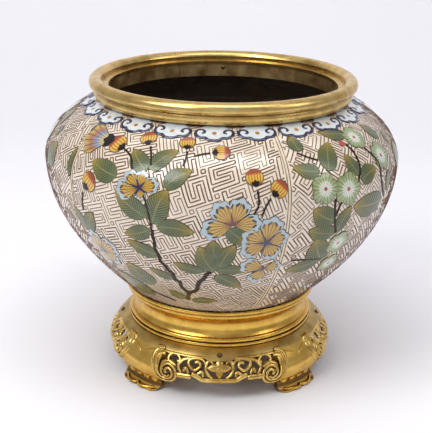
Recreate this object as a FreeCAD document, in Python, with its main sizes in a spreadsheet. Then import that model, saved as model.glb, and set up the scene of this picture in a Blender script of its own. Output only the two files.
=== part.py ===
import FreeCAD, Part
import math
import os
import re

import Sketcher
from FreeCAD import Placement, Rotation, Vector

# Cloisonne cachepot: a lobed copper vessel with a fired enamel coat, a gilt-bronze rim, a turned socle
# and a bombe stand of four legs and four pierced aprons, all drawn together by one rod and nut.
# Millimetres, +Z up, origin on the floor under the axis of the vessel. -Y is the front and an azimuth
# turns from the front towards +X.

# Driving dimensions: heights are above the floor unless the name says otherwise.
SIZES = {
    # Vessel outline over its enamel, at the crest of a lobe
    "belly_radius": 142.4,
    "belly_height": 180.0,
    "neck_radius": 99.0,
    "shoulder_rise": 45.0,
    "shoulder_fullness": 1.22,
    "foot_radius": 79.0,
    "foot_height": 71.0,
    "crease_depth": 2.4,
    "crease_azimuth": 19.5,
    # Vessel walls
    "enamel_wall": 1.0,
    "copper_wall": 1.6,
    "lining_wall": 0.5,
    "pot_floor_wall": 2.0,
    "neck_wall": 2.0,
    "spigot_radius": 76.5,
    "spigot_depth": 5.0,
    "enamel_gap": 0.3,
    # Rim moulding: rises are above the neck
    "mouth_radius": 91.0,
    "rim_lap": 0.5,
    "ovolo_radius": 102.0,
    "ovolo_bulge": 2.2,
    "groove_rise": 8.2,
    "lip_root": 0.7,
    "lip_radius": 106.5,
    "lip_waist_rise": 11.6,
    "crown_radius": 100.4,
    "crown_rise": 17.3,
    "lip_bulge": 1.9,
    "lip_under_bulge": 0.9,
    "lip_inner_radius": 95.8,
    "lip_inner_rise": 13.4,
    "step_rise": 10.6,
    "mouth_edge_rise": 9.8,
    "neck_upstand": 7.5,
    # Brass strip inside the mouth and the pins through it
    "collar_recess": 1.0,
    "collar_wall": 1.0,
    "collar_height": 11.0,
    "collar_joint": 0.6,
    "joint_azimuth": -155.7,
    "pin_diameter": 2.0,
    "pin_head_diameter": 3.6,
    "pin_head_height": 0.7,
    "pin_depth": 5.5,
    "pin_rise": 4.0,
    # Socle: drops are below its top, rises above its foot
    "socle_lap": 0.4,
    "bead_drop": 3.3,
    "bead_bulge": 0.9,
    "bead_step": 1.2,
    "second_bead_drop": 6.9,
    "cove_top_inset": 1.2,
    "cove_depth": 4.4,
    "cove_foot_radius": 73.4,
    "ring_radius": 75.4,
    "ring_rise": 6.8,
    "ring_bulge": 1.1,
    "fillet_radius": 76.8,
    "fillet_rise": 2.8,
    "fillet_bulge": 0.5,
    "socle_bore": 66.0,
    "ledge_bore": 60.0,
    "ledge_wall": 6.0,
    # Stand
    "deck_top": 39.5,
    "deck_wall": 4.5,
    "deck_bore": 36.0,
    "deck_margin": 0.4,
    "register_wall": 4.0,
    "register_height": 2.0,
    "register_clearance": 0.1,
    "shoulder_radius": 84.4,
    "shoulder_bulge": 0.8,
    "deck_edge_bulge": 0.5,
    "upper_bulge_radius": 92.3,
    "upper_bulge_height": 24.5,
    "lower_bulge_radius": 91.9,
    "lower_bulge_height": 11.5,
    "stand_bulge": 2.2,
    # Legs, each with a flared and rounded toe
    "leg_angle": 27.0,
    "leg_wall": 7.0,
    "lug_radius": 67.0,
    "lug_wall": 6.5,
    "ankle_radius": 88.6,
    "ankle_height": 8.6,
    "ankle_hollow": 2.6,
    "toe_flare": 6.6,
    "toe_lip": 1.8,
    "toe_sole": 10.5,
    "toe_flat": 6.0,
    "toe_round_depth": 7.5,
    "toe_round_bulge": 3.4,
    "toe_round_height": 4.0,
    "toe_cleft_radius": 3.0,
    "toe_cleft_depth": 1.2,
    "foot_notch_height": 12.2,
    "foot_notch_half_width": 20.2,
    "foot_half_width": 20.4,
    "foot_side_height": 5.0,
    "toe_half_width": 16.6,
    "foot_side_bulge": 0.8,
    "toe_side_bulge": 1.4,
    "leg_side_room": 8.0,
    # Aprons
    "apron_wall": 3.2,
    "pendant_height": 16.2,
    "frame_band": 4.2,
    "flat_band": 4.8,
    "scroll_band": 1.9,
    "volute_band": 3.0,
    "top_rail": 1.6,
    "petal_width": 5.2,
    "tongue_half_width": 14.2,
    "tongue_tip_half_width": 8.5,
    "tongue_drop": 2.6,
    "tongue_wall": 1.6,
    # Screws through the tongues and into the legs
    "apron_screw_diameter": 2.6,
    "apron_screw_head_diameter": 4.4,
    "apron_screw_head_height": 1.2,
    "apron_screw_length": 6.5,
    "apron_screw_tilt": 42.0,
    "apron_screw_inset": 0.5,
    "apron_screw_rise": 1.4,
    "leg_screw_diameter": 4.0,
    "leg_screw_head_diameter": 7.0,
    "leg_screw_head_height": 1.8,
    "leg_screw_length": 10.0,
    "leg_screw_circle": 71.5,
    "screw_slot_width": 0.8,
    "screw_slot_depth": 0.5,
    # Rod, washers, bar and nut on the axis
    "rod_diameter": 8.0,
    "rod_clearance": 0.2,
    "rod_head_diameter": 18.0,
    "rod_head_height": 5.0,
    "rod_slot_width": 2.0,
    "rod_slot_depth": 2.0,
    "rod_tail": 1.0,
    "rod_washer_diameter": 44.0,
    "rod_washer_wall": 2.0,
    "gasket_diameter": 50.0,
    "gasket_wall": 2.5,
    "bar_length": 100.0,
    "bar_width": 18.0,
    "bar_wall": 5.0,
    "nut_washer_diameter": 20.0,
    "nut_washer_wall": 1.5,
    "nut_width": 13.0,
    "nut_height": 6.5,
}

# Sizes that follow from others
DERIVED = {
    "neck_height": "=belly_height + shoulder_rise",
    "toe_radius": "=ankle_radius + toe_flare",
}

FRONT = -90.0
LOBE_COUNT = 5
LEG_COUNT = 4
PIN_COUNT = 4
SECTION_COUNT = 12

doc = FreeCAD.newDocument("cloisonne_cachepot")
sheet = doc.addObject("Spreadsheet::Sheet", "Sizes")
for row, (alias, content) in enumerate({**SIZES, **DERIVED}.items(), start=1):
    sheet.set("A%d" % row, alias)
    sheet.set("B%d" % row, str(content))
    sheet.setAlias("B%d" % row, alias)
doc.recompute()

sub_parts = []


def size(alias):
    return float(sheet.get(alias))


def value(expression):
    """Number that an expression of size names gives now."""
    result = sheet.evalExpression(expression)
    return float(getattr(result, "Value", result))


def kept(part, label):
    part.Label = label
    sub_parts.append(part)
    return part


def turned(azimuth):
    """Rotation that carries +X to the given azimuth."""
    return Rotation(Vector(0, 0, 1), FRONT + azimuth)


def at_azimuth(radius, azimuth, height):
    return turned(azimuth).multVec(Vector(radius, 0, 0)) + Vector(0, 0, height)


# Sketches bound to the sheet


def new_body(label):
    return kept(doc.addObject("PartDesign::Body", label), label)


def new_sketch(body, role, name, height=None):
    sketch = body.newObject("Sketcher::SketchObject", body.Label + "_" + name)
    plane = next(item for item in body.Origin.OriginFeatures if item.Role == role)
    sketch.AttachmentSupport = [(plane, "")]
    sketch.MapMode = "FlatFace"
    if height is not None:
        sketch.setExpression("AttachmentOffset.Base.z", height)
    return sketch


def bind(sketch, constraint, expression):
    index = sketch.addConstraint(constraint)
    sketch.renameConstraint(index, "size%d" % index)
    sketch.setExpression("Constraints.size%d" % index, expression)


def bulged_side(start, end, depth):
    """Arc that stands out to the right of the way from start to end, or to the left for a negative depth."""
    along = end - start
    outward = Vector(along.y, -along.x, 0).normalize()
    radius = along.Length**2 / (8 * abs(depth)) + abs(depth) / 2
    centre = (start + end) * 0.5 + outward * (depth - math.copysign(radius, depth))
    first, last = (start, end) if depth > 0 else (end, start)
    angles = [math.atan2(point.y - centre.y, point.x - centre.x) for point in (first, last)]
    if angles[1] < angles[0]:
        angles[1] += 2 * math.pi
    return Part.ArcOfCircle(Part.Circle(centre, Vector(0, 0, 1), radius), *angles)


def draw_outline(sketch, corners, bulges=None):
    """Closed outline through corners given as expressions, anticlockwise, with a bulge on some sides."""
    bulges = bulges or {}
    points = [Vector(value(x), value(y), 0) for x, y in corners]
    starts = []
    for side, start in enumerate(points):
        after = (side + 1) % len(points)
        end = points[after]
        bulge = bulges.get(side)
        if bulge is None:
            geometry = sketch.addGeometry(Part.LineSegment(start, end), False)
            starts.append((geometry, 1, 2))
            continue
        geometry = sketch.addGeometry(bulged_side(start, end, value(bulge)), False)
        starts.append((geometry, 1, 2) if value(bulge) > 0 else (geometry, 2, 1))
    for side, (geometry, _, last) in enumerate(starts):
        follower, follower_first, _ = starts[(side + 1) % len(starts)]
        sketch.addConstraint(Sketcher.Constraint("Coincident", geometry, last, follower, follower_first))
    for side, (geometry, first, _) in enumerate(starts):
        x, y = corners[side]
        point = points[side]
        bind(sketch, Sketcher.Constraint("DistanceX", -1, 1, geometry, first, point.x), x)
        bind(sketch, Sketcher.Constraint("DistanceY", -1, 1, geometry, first, point.y), y)
    for side, bulge in bulges.items():
        geometry = starts[side][0]
        (x1, y1), (x2, y2) = corners[side], corners[(side + 1) % len(corners)]
        span = "((%s) - (%s))^2 + ((%s) - (%s))^2" % (x2, x1, y2, y1)
        depth = "abs(%s)" % bulge
        radius = "(%s) / (8 * %s) + %s / 2" % (span, depth, depth)
        bind(sketch, Sketcher.Constraint("Radius", geometry, value(radius)), radius)
    return sketch


def draw_circle(sketch, x, y, radius):
    centre = Vector(value(x), value(y), 0)
    geometry = sketch.addGeometry(Part.Circle(centre, Vector(0, 0, 1), value(radius)), False)
    bind(sketch, Sketcher.Constraint("DistanceX", -1, 1, geometry, 3, centre.x), x)
    bind(sketch, Sketcher.Constraint("DistanceY", -1, 1, geometry, 3, centre.y), y)
    bind(sketch, Sketcher.Constraint("Radius", geometry, value(radius)), radius)


def revolve(body, sketch, angle=None):
    """Full turn about the vertical axis, or a swing of the given angle to both sides of the sketch."""
    feature = body.newObject("PartDesign::Revolution", sketch.Label + "_turn")
    feature.Profile = sketch
    feature.ReferenceAxis = (sketch, ["V_Axis"])
    if angle is None:
        feature.Angle = 360.0
    else:
        feature.Midplane = True
        feature.setExpression("Angle", angle)
    doc.recompute()
    return feature


def cut_both_ways(body, sketch, length):
    """Cuts the sketch out of the body to half the length on both sides of its plane."""
    feature = body.newObject("PartDesign::Pocket", sketch.Label + "_cut")
    feature.Profile = sketch
    feature.Midplane = True
    feature.setExpression("Length", length)
    before = body.Shape.Volume
    doc.recompute()
    if body.Shape.Volume >= before:
        raise RuntimeError("nothing cut by " + sketch.Label)
    return feature


def pad(body, sketch, length):
    feature = body.newObject("PartDesign::Pad", sketch.Label + "_pad")
    feature.Profile = sketch
    feature.setExpression("Length", length)
    doc.recompute()
    return feature


def turned_body(label, corners, bulges=None):
    body = new_body(label)
    sketch = draw_outline(new_sketch(body, "XZ_Plane", "outline"), corners, bulges)
    revolve(body, sketch)
    return body


def names(expression):
    """Expression with each size name pointed at the sheet."""
    return re.sub(r"[a-z_]+", lambda word: sheet_name(word.group()), expression)


def sheet_name(word):
    return "Sizes." + word if word in SIZES or word in DERIVED else word


def corner_list(*pairs):
    return [(names(x), names(y)) for x, y in pairs]


def bulge_list(**sides):
    return {int(side[4:]): names(bulge) for side, bulge in sides.items()}


# Heights and radii that several pieces share

COLLAR_INSIDE = "(mouth_radius + collar_recess)"
COLLAR_OUTSIDE = "(mouth_radius + collar_recess + collar_wall)"
NECK_OUTSIDE = "(mouth_radius + collar_recess + collar_wall + neck_wall)"
NECK_TOP = "(neck_height + neck_upstand)"
POT_UNDERSIDE = "(foot_height - spigot_depth)"
POT_FLOOR = "(foot_height - spigot_depth + pot_floor_wall)"
SOCLE_TOP = "(foot_height - enamel_gap)"
DECK_UNDERSIDE = "(deck_top - deck_wall)"
BAR_UNDERSIDE = "(deck_top - deck_wall - bar_wall)"
LINED_FLOOR = "(foot_height - spigot_depth + pot_floor_wall + lining_wall)"


def level(expression):
    return value(names(expression))


# Vessel: lofts through rings of arcs, one arc to a lobe


def vessel_radius(height):
    rise = height - size("belly_height")
    if rise < 0:
        share = rise / (size("belly_height") - size("foot_height"))
        return size("belly_radius") - (size("belly_radius") - size("foot_radius")) * share**2
    full = size("shoulder_fullness")
    share = rise / (size("neck_height") - size("belly_height"))
    fall = (1 - math.sqrt(1 - (share / full) ** 2)) / (1 - math.sqrt(1 - 1 / full**2))
    return size("belly_radius") - (size("belly_radius") - size("neck_radius")) * fall


def vessel_slant(height):
    """Length along the outline for each unit of height."""
    step = 0.01
    top = size("neck_height")
    low, high = min(height, top - step) - step, min(height, top - step)
    return math.hypot(1, (vessel_radius(high) - vessel_radius(low)) / step)


def crease_at(height):
    share = (height - size("foot_height")) / (size("neck_height") - size("foot_height"))
    share = min(max(share, 0.0), 1.0)
    return size("crease_depth") * (1 - (2 * share - 1) ** 4)


def lobed_ring(height, inset):
    crest = vessel_radius(height) - inset * vessel_slant(height)
    crease = crest - crease_at(height)
    pitch = 360.0 / LOBE_COUNT
    arcs = []
    for lobe in range(LOBE_COUNT):
        start = size("crease_azimuth") + lobe * pitch
        ends = [at_azimuth(crease, start + share * pitch, height) for share in (0, 1)]
        arcs.append(Part.Arc(ends[0], at_azimuth(crest, start + pitch / 2, height), ends[1]).toShape())
    return Part.Wire(arcs)


def vessel_solid(inset, low, high):
    """Solid inside the vessel's outline, drawn in by a wall thickness, between two heights."""
    rings = [lobed_ring(height, inset) for height in section_heights(low, high)]
    return Part.makeLoft(rings, True, False)


def section_heights(low, high):
    """Heights of the rings, closer together where the shoulder turns in to the neck."""
    belly, neck = size("belly_height"), size("neck_height")
    shares = [step / SECTION_COUNT for step in range(SECTION_COUNT + 1)]
    reach = (neck - belly) * size("shoulder_fullness")
    turn = math.asin((high - belly) / reach)
    below = [low + share * (belly - low) for share in shares[:-1]]
    return below + [belly + reach * math.sin(share * turn) for share in shares]


def cylinder(radius, low, high):
    return Part.makeCylinder(radius, high - low, Vector(0, 0, low))


def pin_bores(radius, reach):
    """Radial bores for the rim pins, all round."""
    height = size("neck_height") + size("pin_rise")
    bores = []
    for pin in range(PIN_COUNT):
        direction = at_azimuth(1, 360.0 * pin / PIN_COUNT, 0)
        bores.append(Part.makeCylinder(radius, reach, Vector(0, 0, height), direction))
    return bores


def make_vessel():
    foot, neck = size("foot_height"), size("neck_height")
    enamel, copper = size("enamel_wall"), size("enamel_wall") + size("copper_wall")
    lining = copper + size("lining_wall")
    outside = vessel_solid(0, foot, neck)
    under_enamel = vessel_solid(enamel, foot, neck)
    hollow = vessel_solid(copper, level(POT_FLOOR), neck)
    lined_hollow = vessel_solid(lining, level(LINED_FLOOR), neck)
    bore = cylinder(level(COLLAR_OUTSIDE), level(POT_FLOOR) + (neck - foot) / 2, level(NECK_TOP))
    rod_hole = cylinder(size("rod_diameter") / 2 + size("rod_clearance"), 0, neck)

    coat = doc.addObject("Part::Feature", "enamel_coat")
    coat.Shape = outside.cut(under_enamel)
    kept(coat, "enamel_coat")

    spigot = cylinder(size("spigot_radius"), level(POT_UNDERSIDE), foot + copper)
    upstand = cylinder(level(NECK_OUTSIDE), neck - copper, level(NECK_TOP))
    body = under_enamel.fuse([spigot, upstand]).removeSplitter()
    body = body.cut([hollow, bore, rod_hole] + pin_bores(size("pin_diameter") / 2, size("neck_radius")))
    vessel = doc.addObject("Part::Feature", "copper_body")
    vessel.Shape = body
    kept(vessel, "copper_body")

    collar_foot = level(NECK_TOP) - size("collar_height")
    skin = hollow.cut([lined_hollow, rod_hole]).common(cylinder(size("belly_radius"), 0, collar_foot))
    lining_part = doc.addObject("Part::Feature", "counter_enamel")
    lining_part.Shape = skin
    kept(lining_part, "counter_enamel")


# Rim


def make_rim():
    corners = corner_list(
        (NECK_OUTSIDE, "neck_height"),
        ("neck_radius + rim_lap", "neck_height"),
        ("ovolo_radius", "neck_height + groove_rise"),
        ("ovolo_radius + lip_root", "neck_height + groove_rise"),
        ("lip_radius", "neck_height + lip_waist_rise"),
        ("crown_radius", "neck_height + crown_rise"),
        ("lip_inner_radius", "neck_height + lip_inner_rise"),
        ("lip_inner_radius", "neck_height + step_rise"),
        ("mouth_radius", "neck_height + mouth_edge_rise"),
        ("mouth_radius", NECK_TOP),
        (NECK_OUTSIDE, NECK_TOP),
    )
    bulges = bulge_list(
        side1="ovolo_bulge",
        side3="lip_under_bulge",
        side4="lip_bulge",
        side5="lip_under_bulge",
    )
    body = turned_body("rim_moulding", corners, bulges)
    drill_for_pins(body)


def drill_for_pins(body):
    """Four pin bores from the mouth outwards, two to a cut."""
    reach = names("2 * (mouth_radius + collar_recess + pin_depth)")
    for role in ("XZ_Plane", "YZ_Plane"):
        sketch = new_sketch(body, role, "pins_" + role)
        draw_circle(sketch, "0", names("neck_height + pin_rise"), names("pin_diameter / 2"))
        cut_both_ways(body, sketch, reach)


def make_collar():
    foot = "(%s - collar_height)" % NECK_TOP
    corners = corner_list(
        (COLLAR_INSIDE, foot),
        (COLLAR_OUTSIDE, foot),
        (COLLAR_OUTSIDE, NECK_TOP),
        (COLLAR_INSIDE, NECK_TOP),
    )
    body = turned_body("inner_collar", corners)
    drill_for_pins(body)
    joint = draw_outline(
        new_sketch(body, "XY_Plane", "joint"),
        corner_list(
            ("0", "0 - collar_joint / 2"),
            ("lip_radius", "0 - collar_joint / 2"),
            ("lip_radius", "collar_joint / 2"),
            ("0", "collar_joint / 2"),
        ),
    )
    joint.setExpression("AttachmentOffset.Rotation.Angle", names("joint_azimuth - 90"))
    cut_both_ways(body, joint, names("3 * neck_height"))


def make_fasteners(label, shape, places):
    """One node that holds a group of like fasteners as separate solids."""
    copies = []
    for place in places:
        copy = shape.copy()
        copy.Placement = place
        copies.append(copy)
    group = doc.addObject("Part::Feature", label)
    group.Shape = Part.makeCompound(copies)
    kept(group, label)


def headed_pin(diameter, length, head_diameter, head_height):
    """Pin that points down from the origin, under a low conical head."""
    shank = Part.makeCylinder(diameter / 2, length, Vector(0, 0, -length))
    head = Part.makeCone(head_diameter / 2, diameter / 2, head_height)
    return shank.fuse(head).removeSplitter()


def countersunk_screw(diameter, length, head_diameter, head_height):
    """Screw whose flat slotted head has its top at the origin."""
    shank = Part.makeCylinder(diameter / 2, length, Vector(0, 0, -length))
    head = Part.makeCone(diameter / 2, head_diameter / 2, head_height, Vector(0, 0, -head_height))
    return slotted(shank.fuse(head).removeSplitter(), head_diameter)


def slotted(shape, head_diameter):
    width, depth = size("screw_slot_width"), size("screw_slot_depth")
    corner = Vector(-head_diameter / 2, -width / 2, -depth)
    return shape.cut(Part.makeBox(head_diameter, width, 2 * depth, corner))


def make_collar_pins():
    pin = headed_pin(
        size("pin_diameter"), size("pin_depth"), size("pin_head_diameter"), size("pin_head_height")
    )
    places = []
    for index in range(PIN_COUNT):
        azimuth = 360.0 * index / PIN_COUNT
        seat = at_azimuth(level(COLLAR_INSIDE), azimuth, size("neck_height") + size("pin_rise"))
        outward = Rotation(Vector(0, 0, -1), at_azimuth(1, azimuth, 0))
        places.append(Placement(seat, outward))
    make_fasteners("collar_pins", pin, places)


# Socle


def make_socle():
    corners = corner_list(
        ("spigot_radius", POT_UNDERSIDE),
        ("ledge_bore", POT_UNDERSIDE),
        ("ledge_bore", "%s - ledge_wall" % POT_UNDERSIDE),
        ("socle_bore", "%s - ledge_wall" % POT_UNDERSIDE),
        ("socle_bore", "deck_top"),
        ("fillet_radius", "deck_top"),
        ("fillet_radius", "deck_top + fillet_rise"),
        ("ring_radius", "deck_top + fillet_rise"),
        ("ring_radius", "deck_top + ring_rise"),
        ("cove_foot_radius", "deck_top + ring_rise"),
        ("foot_radius - cove_top_inset - bead_step", "%s - second_bead_drop" % SOCLE_TOP),
        ("foot_radius - bead_step", "%s - second_bead_drop" % SOCLE_TOP),
        ("foot_radius - bead_step", "%s - bead_drop" % SOCLE_TOP),
        ("foot_radius + socle_lap - bead_bulge / 2", "%s - bead_drop" % SOCLE_TOP),
        ("foot_radius + socle_lap - bead_bulge / 2", SOCLE_TOP),
        ("spigot_radius", SOCLE_TOP),
    )
    bulges = bulge_list(
        side5="fillet_bulge",
        side7="ring_bulge",
        side9="0 - cove_depth",
        side11="bead_bulge",
        side13="bead_bulge",
    )
    turned_body("socle", corners, bulges)


# Stand


def stand_section(depth):
    """Face of a bombe wall from its lower edge to the deck, with the given depth behind its outside."""
    low = Vector(size("lower_bulge_radius"), 0, size("lower_bulge_height"))
    high = Vector(size("upper_bulge_radius"), 0, size("upper_bulge_height"))
    top = Vector(size("shoulder_radius"), 0, level(DECK_UNDERSIDE))
    outside = [
        Part.Arc(low, bulged(low, high, size("stand_bulge")), high).toShape(),
        Part.Arc(high, bulged(high, top, size("shoulder_bulge")), top).toShape(),
    ]
    behind = Part.Wire(outside)
    behind.translate(Vector(-depth, 0, 0))
    ends = [point.Point for point in behind.OrderedVertexes]
    low_edge = Part.LineSegment(ends[0], low).toShape()
    top_edge = Part.LineSegment(top, ends[-1]).toShape()
    return Part.Face(Part.Wire(outside + [top_edge] + list(reversed(behind.OrderedEdges)) + [low_edge]))


def bulged(start, end, depth):
    along = end - start
    outward = Vector(along.z, 0, -along.x).normalize()
    return (start + end) * 0.5 + outward * depth


def swept_section(face, angle):
    """Section turned about the axis by an angle, centred on +X."""
    face = face.copy()
    face.rotate(Vector(0, 0, 0), Vector(0, 0, 1), -angle / 2)
    return face.revolve(Vector(0, 0, 0), Vector(0, 0, 1), angle)


def prism(points, reach):
    """Flat outline of (across, height) points facing +X, made as deep as the reach."""
    corners = [Vector(0, across, height) for across, height in points]
    return Part.Face(Part.makePolygon(corners + corners[:1])).extrude(Vector(reach, 0, 0))


def tongue_prism():
    low = level(DECK_UNDERSIDE) - size("tongue_drop")
    high = level(DECK_UNDERSIDE)
    outline = [
        (-size("tongue_tip_half_width"), low),
        (size("tongue_tip_half_width"), low),
        (size("tongue_half_width"), high),
        (-size("tongue_half_width"), high),
    ]
    return prism(outline, 2 * size("shoulder_radius"))


def make_deck():
    register = "socle_bore - register_clearance"
    corners = corner_list(
        ("deck_bore", DECK_UNDERSIDE),
        ("shoulder_radius", DECK_UNDERSIDE),
        ("fillet_radius + deck_margin", "deck_top"),
        (register, "deck_top"),
        (register, "deck_top + register_height"),
        ("%s - register_wall" % register, "deck_top + register_height"),
        ("%s - register_wall" % register, "deck_top"),
        ("deck_bore", "deck_top"),
    )
    plate = doc.addObject("PartDesign::Body", "deck_plate")
    plate.Label = "deck_plate"
    sketch = new_sketch(plate, "XZ_Plane", "outline")
    draw_outline(sketch, corners, bulge_list(side1="deck_edge_bulge"))
    revolve(plate, sketch)

    tongue = tongue_prism().common(swept_section(stand_section(size("tongue_wall")), 180.0))
    shape = plate.Shape.fuse([placed(tongue, turned(azimuth)) for azimuth in apron_azimuths()])
    shape = shape.removeSplitter()
    cuts = [placed(apron_screw_bore(), turned(azimuth)) for azimuth in apron_azimuths()]
    cuts += [placed(leg_screw_bore(), turned(azimuth)) for azimuth in leg_azimuths()]
    deck = doc.addObject("Part::Feature", "stand_deck")
    deck.Shape = shape.cut(cuts)
    kept(deck, "stand_deck")


def placed(shape, rotation):
    copy = shape.copy()
    copy.Placement = Placement(Vector(0, 0, 0), rotation).multiply(copy.Placement)
    return copy


def apron_azimuths():
    return [360.0 * index / LEG_COUNT for index in range(LEG_COUNT)]


def leg_azimuths():
    return [azimuth + 180.0 / LEG_COUNT for azimuth in apron_azimuths()]


def apron_screw_place():
    radius = size("shoulder_radius") - size("apron_screw_inset")
    seat = Vector(radius, 0, level(DECK_UNDERSIDE) + size("apron_screw_rise"))
    return Placement(seat, Rotation(Vector(0, 1, 0), 90.0 - size("apron_screw_tilt")))


def apron_screw():
    return countersunk_screw(
        size("apron_screw_diameter"),
        size("apron_screw_length"),
        size("apron_screw_head_diameter"),
        size("apron_screw_head_height"),
    )


def apron_screw_bore():
    bore = plain_bore(
        size("apron_screw_diameter"),
        size("apron_screw_length"),
        size("apron_screw_head_diameter"),
        size("apron_screw_head_height"),
    )
    bore.Placement = apron_screw_place()
    return bore


def plain_bore(diameter, length, head_diameter, head_height):
    """Space of a countersunk screw, open above its head."""
    shank = Part.makeCylinder(diameter / 2, length, Vector(0, 0, -length))
    head = Part.makeCone(diameter / 2, head_diameter / 2, head_height, Vector(0, 0, -head_height))
    room = Part.makeCylinder(head_diameter / 2, length)
    return shank.fuse([head, room])


def leg_screw_bore():
    bore = plain_bore(
        size("leg_screw_diameter"),
        size("leg_screw_length"),
        size("leg_screw_head_diameter"),
        size("leg_screw_head_height"),
    )
    bore.Placement = Placement(Vector(size("leg_screw_circle"), 0, size("deck_top")), Rotation())
    return bore


def make_leg_screws():
    screw = countersunk_screw(
        size("leg_screw_diameter"),
        size("leg_screw_length"),
        size("leg_screw_head_diameter"),
        size("leg_screw_head_height"),
    )
    seats = [at_azimuth(size("leg_screw_circle"), azimuth, size("deck_top")) for azimuth in leg_azimuths()]
    places = [Placement(seat, turned(azimuth)) for seat, azimuth in zip(seats, leg_azimuths())]
    make_fasteners("leg_screws", screw, places)


def make_apron_screws():
    places = []
    for azimuth in apron_azimuths():
        places.append(Placement(Vector(0, 0, 0), turned(azimuth)).multiply(apron_screw_place()))
    make_fasteners("apron_screws", apron_screw(), places)


def make_leg(label, azimuth):
    body = new_body(label)
    section = draw_outline(
        new_sketch(body, "XZ_Plane", "section"),
        corner_list(
            ("toe_radius - toe_sole", "0"),
            ("toe_radius", "0"),
            ("toe_radius", "toe_lip"),
            ("ankle_radius", "ankle_height"),
            ("lower_bulge_radius", "lower_bulge_height"),
            ("upper_bulge_radius", "upper_bulge_height"),
            ("shoulder_radius", DECK_UNDERSIDE),
            ("lug_radius", DECK_UNDERSIDE),
            ("lug_radius", "%s - lug_wall" % DECK_UNDERSIDE),
            ("shoulder_radius - leg_wall", "%s - lug_wall" % DECK_UNDERSIDE),
            ("upper_bulge_radius - leg_wall", "upper_bulge_height"),
            ("lower_bulge_radius - leg_wall", "lower_bulge_height"),
        ),
        bulge_list(
            side2="0 - ankle_hollow",
            side4="stand_bulge",
            side5="shoulder_bulge",
            side10="0 - stand_bulge",
        ),
    )
    revolve(body, section, names("leg_angle"))
    for side, sign in (("left", "0 - "), ("right", "0 + ")):
        cut_foot_side(body, side, sign)
        cut_toe_corner(body, side, sign)
    cut_toe_cleft(body)
    bore = new_sketch(body, "XY_Plane", "screw_bore")
    draw_circle(bore, names("leg_screw_circle"), "0", names("leg_screw_diameter / 2"))
    cut_both_ways(body, bore, names("4 * deck_top"))
    body.Placement = Placement(Vector(0, 0, 0), turned(azimuth))


def cut_foot_side(body, side, sign):
    """Narrows the leg to the outline of its foot, seen from the front."""
    far = "(foot_half_width + leg_side_room)"
    corners = corner_list(
        (sign + "toe_half_width", "0"),
        (sign + far, "0"),
        (sign + far, "foot_notch_height"),
        (sign + "foot_notch_half_width", "foot_notch_height"),
        (sign + "foot_half_width", "foot_side_height"),
    )
    turn = "0 - " if side == "right" else "0 + "
    bulges = bulge_list(side3=turn + "foot_side_bulge", side4=turn + "toe_side_bulge")
    sketch = draw_outline(new_sketch(body, "YZ_Plane", "foot_" + side), corners, bulges)
    cut_both_ways(body, sketch, names("4 * toe_radius"))


def cut_toe_corner(body, side, sign):
    """Rounds one corner of the toe in plan."""
    far = "(toe_radius + leg_side_room)"
    wide = "(foot_half_width + leg_side_room)"
    spring = "(toe_radius - toe_round_depth)"
    corners = corner_list(
        ("toe_radius", sign + "toe_flat"),
        (far, sign + "toe_flat"),
        (far, sign + wide),
        (spring, sign + wide),
        (spring, sign + "foot_half_width"),
    )
    turn = "0 - " if side == "right" else "0 + "
    sketch = new_sketch(body, "XY_Plane", "toe_" + side)
    draw_outline(sketch, corners, bulge_list(side4=turn + "toe_round_bulge"))
    cut_both_ways(body, sketch, names("2 * toe_round_height"))


def cut_toe_cleft(body):
    """Parts the front of the toe into two lobes."""
    sketch = new_sketch(body, "XY_Plane", "toe_cleft")
    middle = names("toe_radius + toe_cleft_radius - toe_cleft_depth")
    draw_circle(sketch, middle, "0", names("toe_cleft_radius"))
    cut_both_ways(body, sketch, names("2 * toe_round_height"))


# Aprons: the scrollwork is drawn for one half of a panel and scaled to the real one

DRAWN_HALF_WIDTH = 48.0
DRAWN_HEIGHT = 18.8

# Each scroll is a chain of arcs, two points after the first for every arc: (across, above the pendant)
RING_SCROLL = [(5.2, 14.2), (7.2, 16.4), (9.6, 15.0), (10.8, 10.4), (5.0, 4.2)]
HEART_SCROLL = [
    (10.4, 13.4),
    (13.2, 16.6),
    (18.6, 17.2),
    (23.4, 15.8),
    (24.2, 12.6),
    (19.6, 9.2),
    (14.8, 12.4),
]
HEART_CURL = [(14.8, 12.4), (16.4, 15.0), (19.4, 14.4)]
PENDANT_CURL = [(17.6, 6.8), (13.8, 8.4), (12.6, 5.0)]
BRANCH_SCROLL = [(22.4, 17.0), (28.6, 15.2), (32.4, 11.4), (32.2, 8.8), (30.2, 6.2)]
BRANCH_CURL = [(24.4, 6.4), (26.4, 10.0), (28.6, 7.4)]
OUTER_SCROLL = [(31.6, 16.2), (34.8, 18.8), (39.6, 16.4), (40.2, 12.6), (34.6, 10.4)]
OUTER_CURL = [(31.6, 16.2), (31.4, 14.2), (33.4, 13.6)]
TAIL_SCROLL = [(34.6, 10.4), (40.0, 12.6), (45.2, 10.2), (45.8, 7.4), (44.6, 5.2)]
VOLUTE = [(48.0, 0.2), (44.2, -2.4), (39.0, -0.4), (36.8, 4.2), (39.6, 8.8), (43.8, 7.2), (43.4, 3.4)]
SCROLLS = [
    RING_SCROLL,
    HEART_SCROLL,
    HEART_CURL,
    PENDANT_CURL,
    BRANCH_SCROLL,
    BRANCH_CURL,
    OUTER_SCROLL,
    OUTER_CURL,
    TAIL_SCROLL,
]
PENDANT_BAND = [(0.0, 2.1), (8.0, 2.1), (13.4, 2.4), (17.8, 4.8), (22.0, 6.4)]
FLAT_BAND = [(22.4, 4.0), (29.6, 4.0), (36.6, 3.8)]
FLOWER_HEIGHT = 11.4
PETAL_REACH = {"across": 10.2, "up": 7.4}


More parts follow.
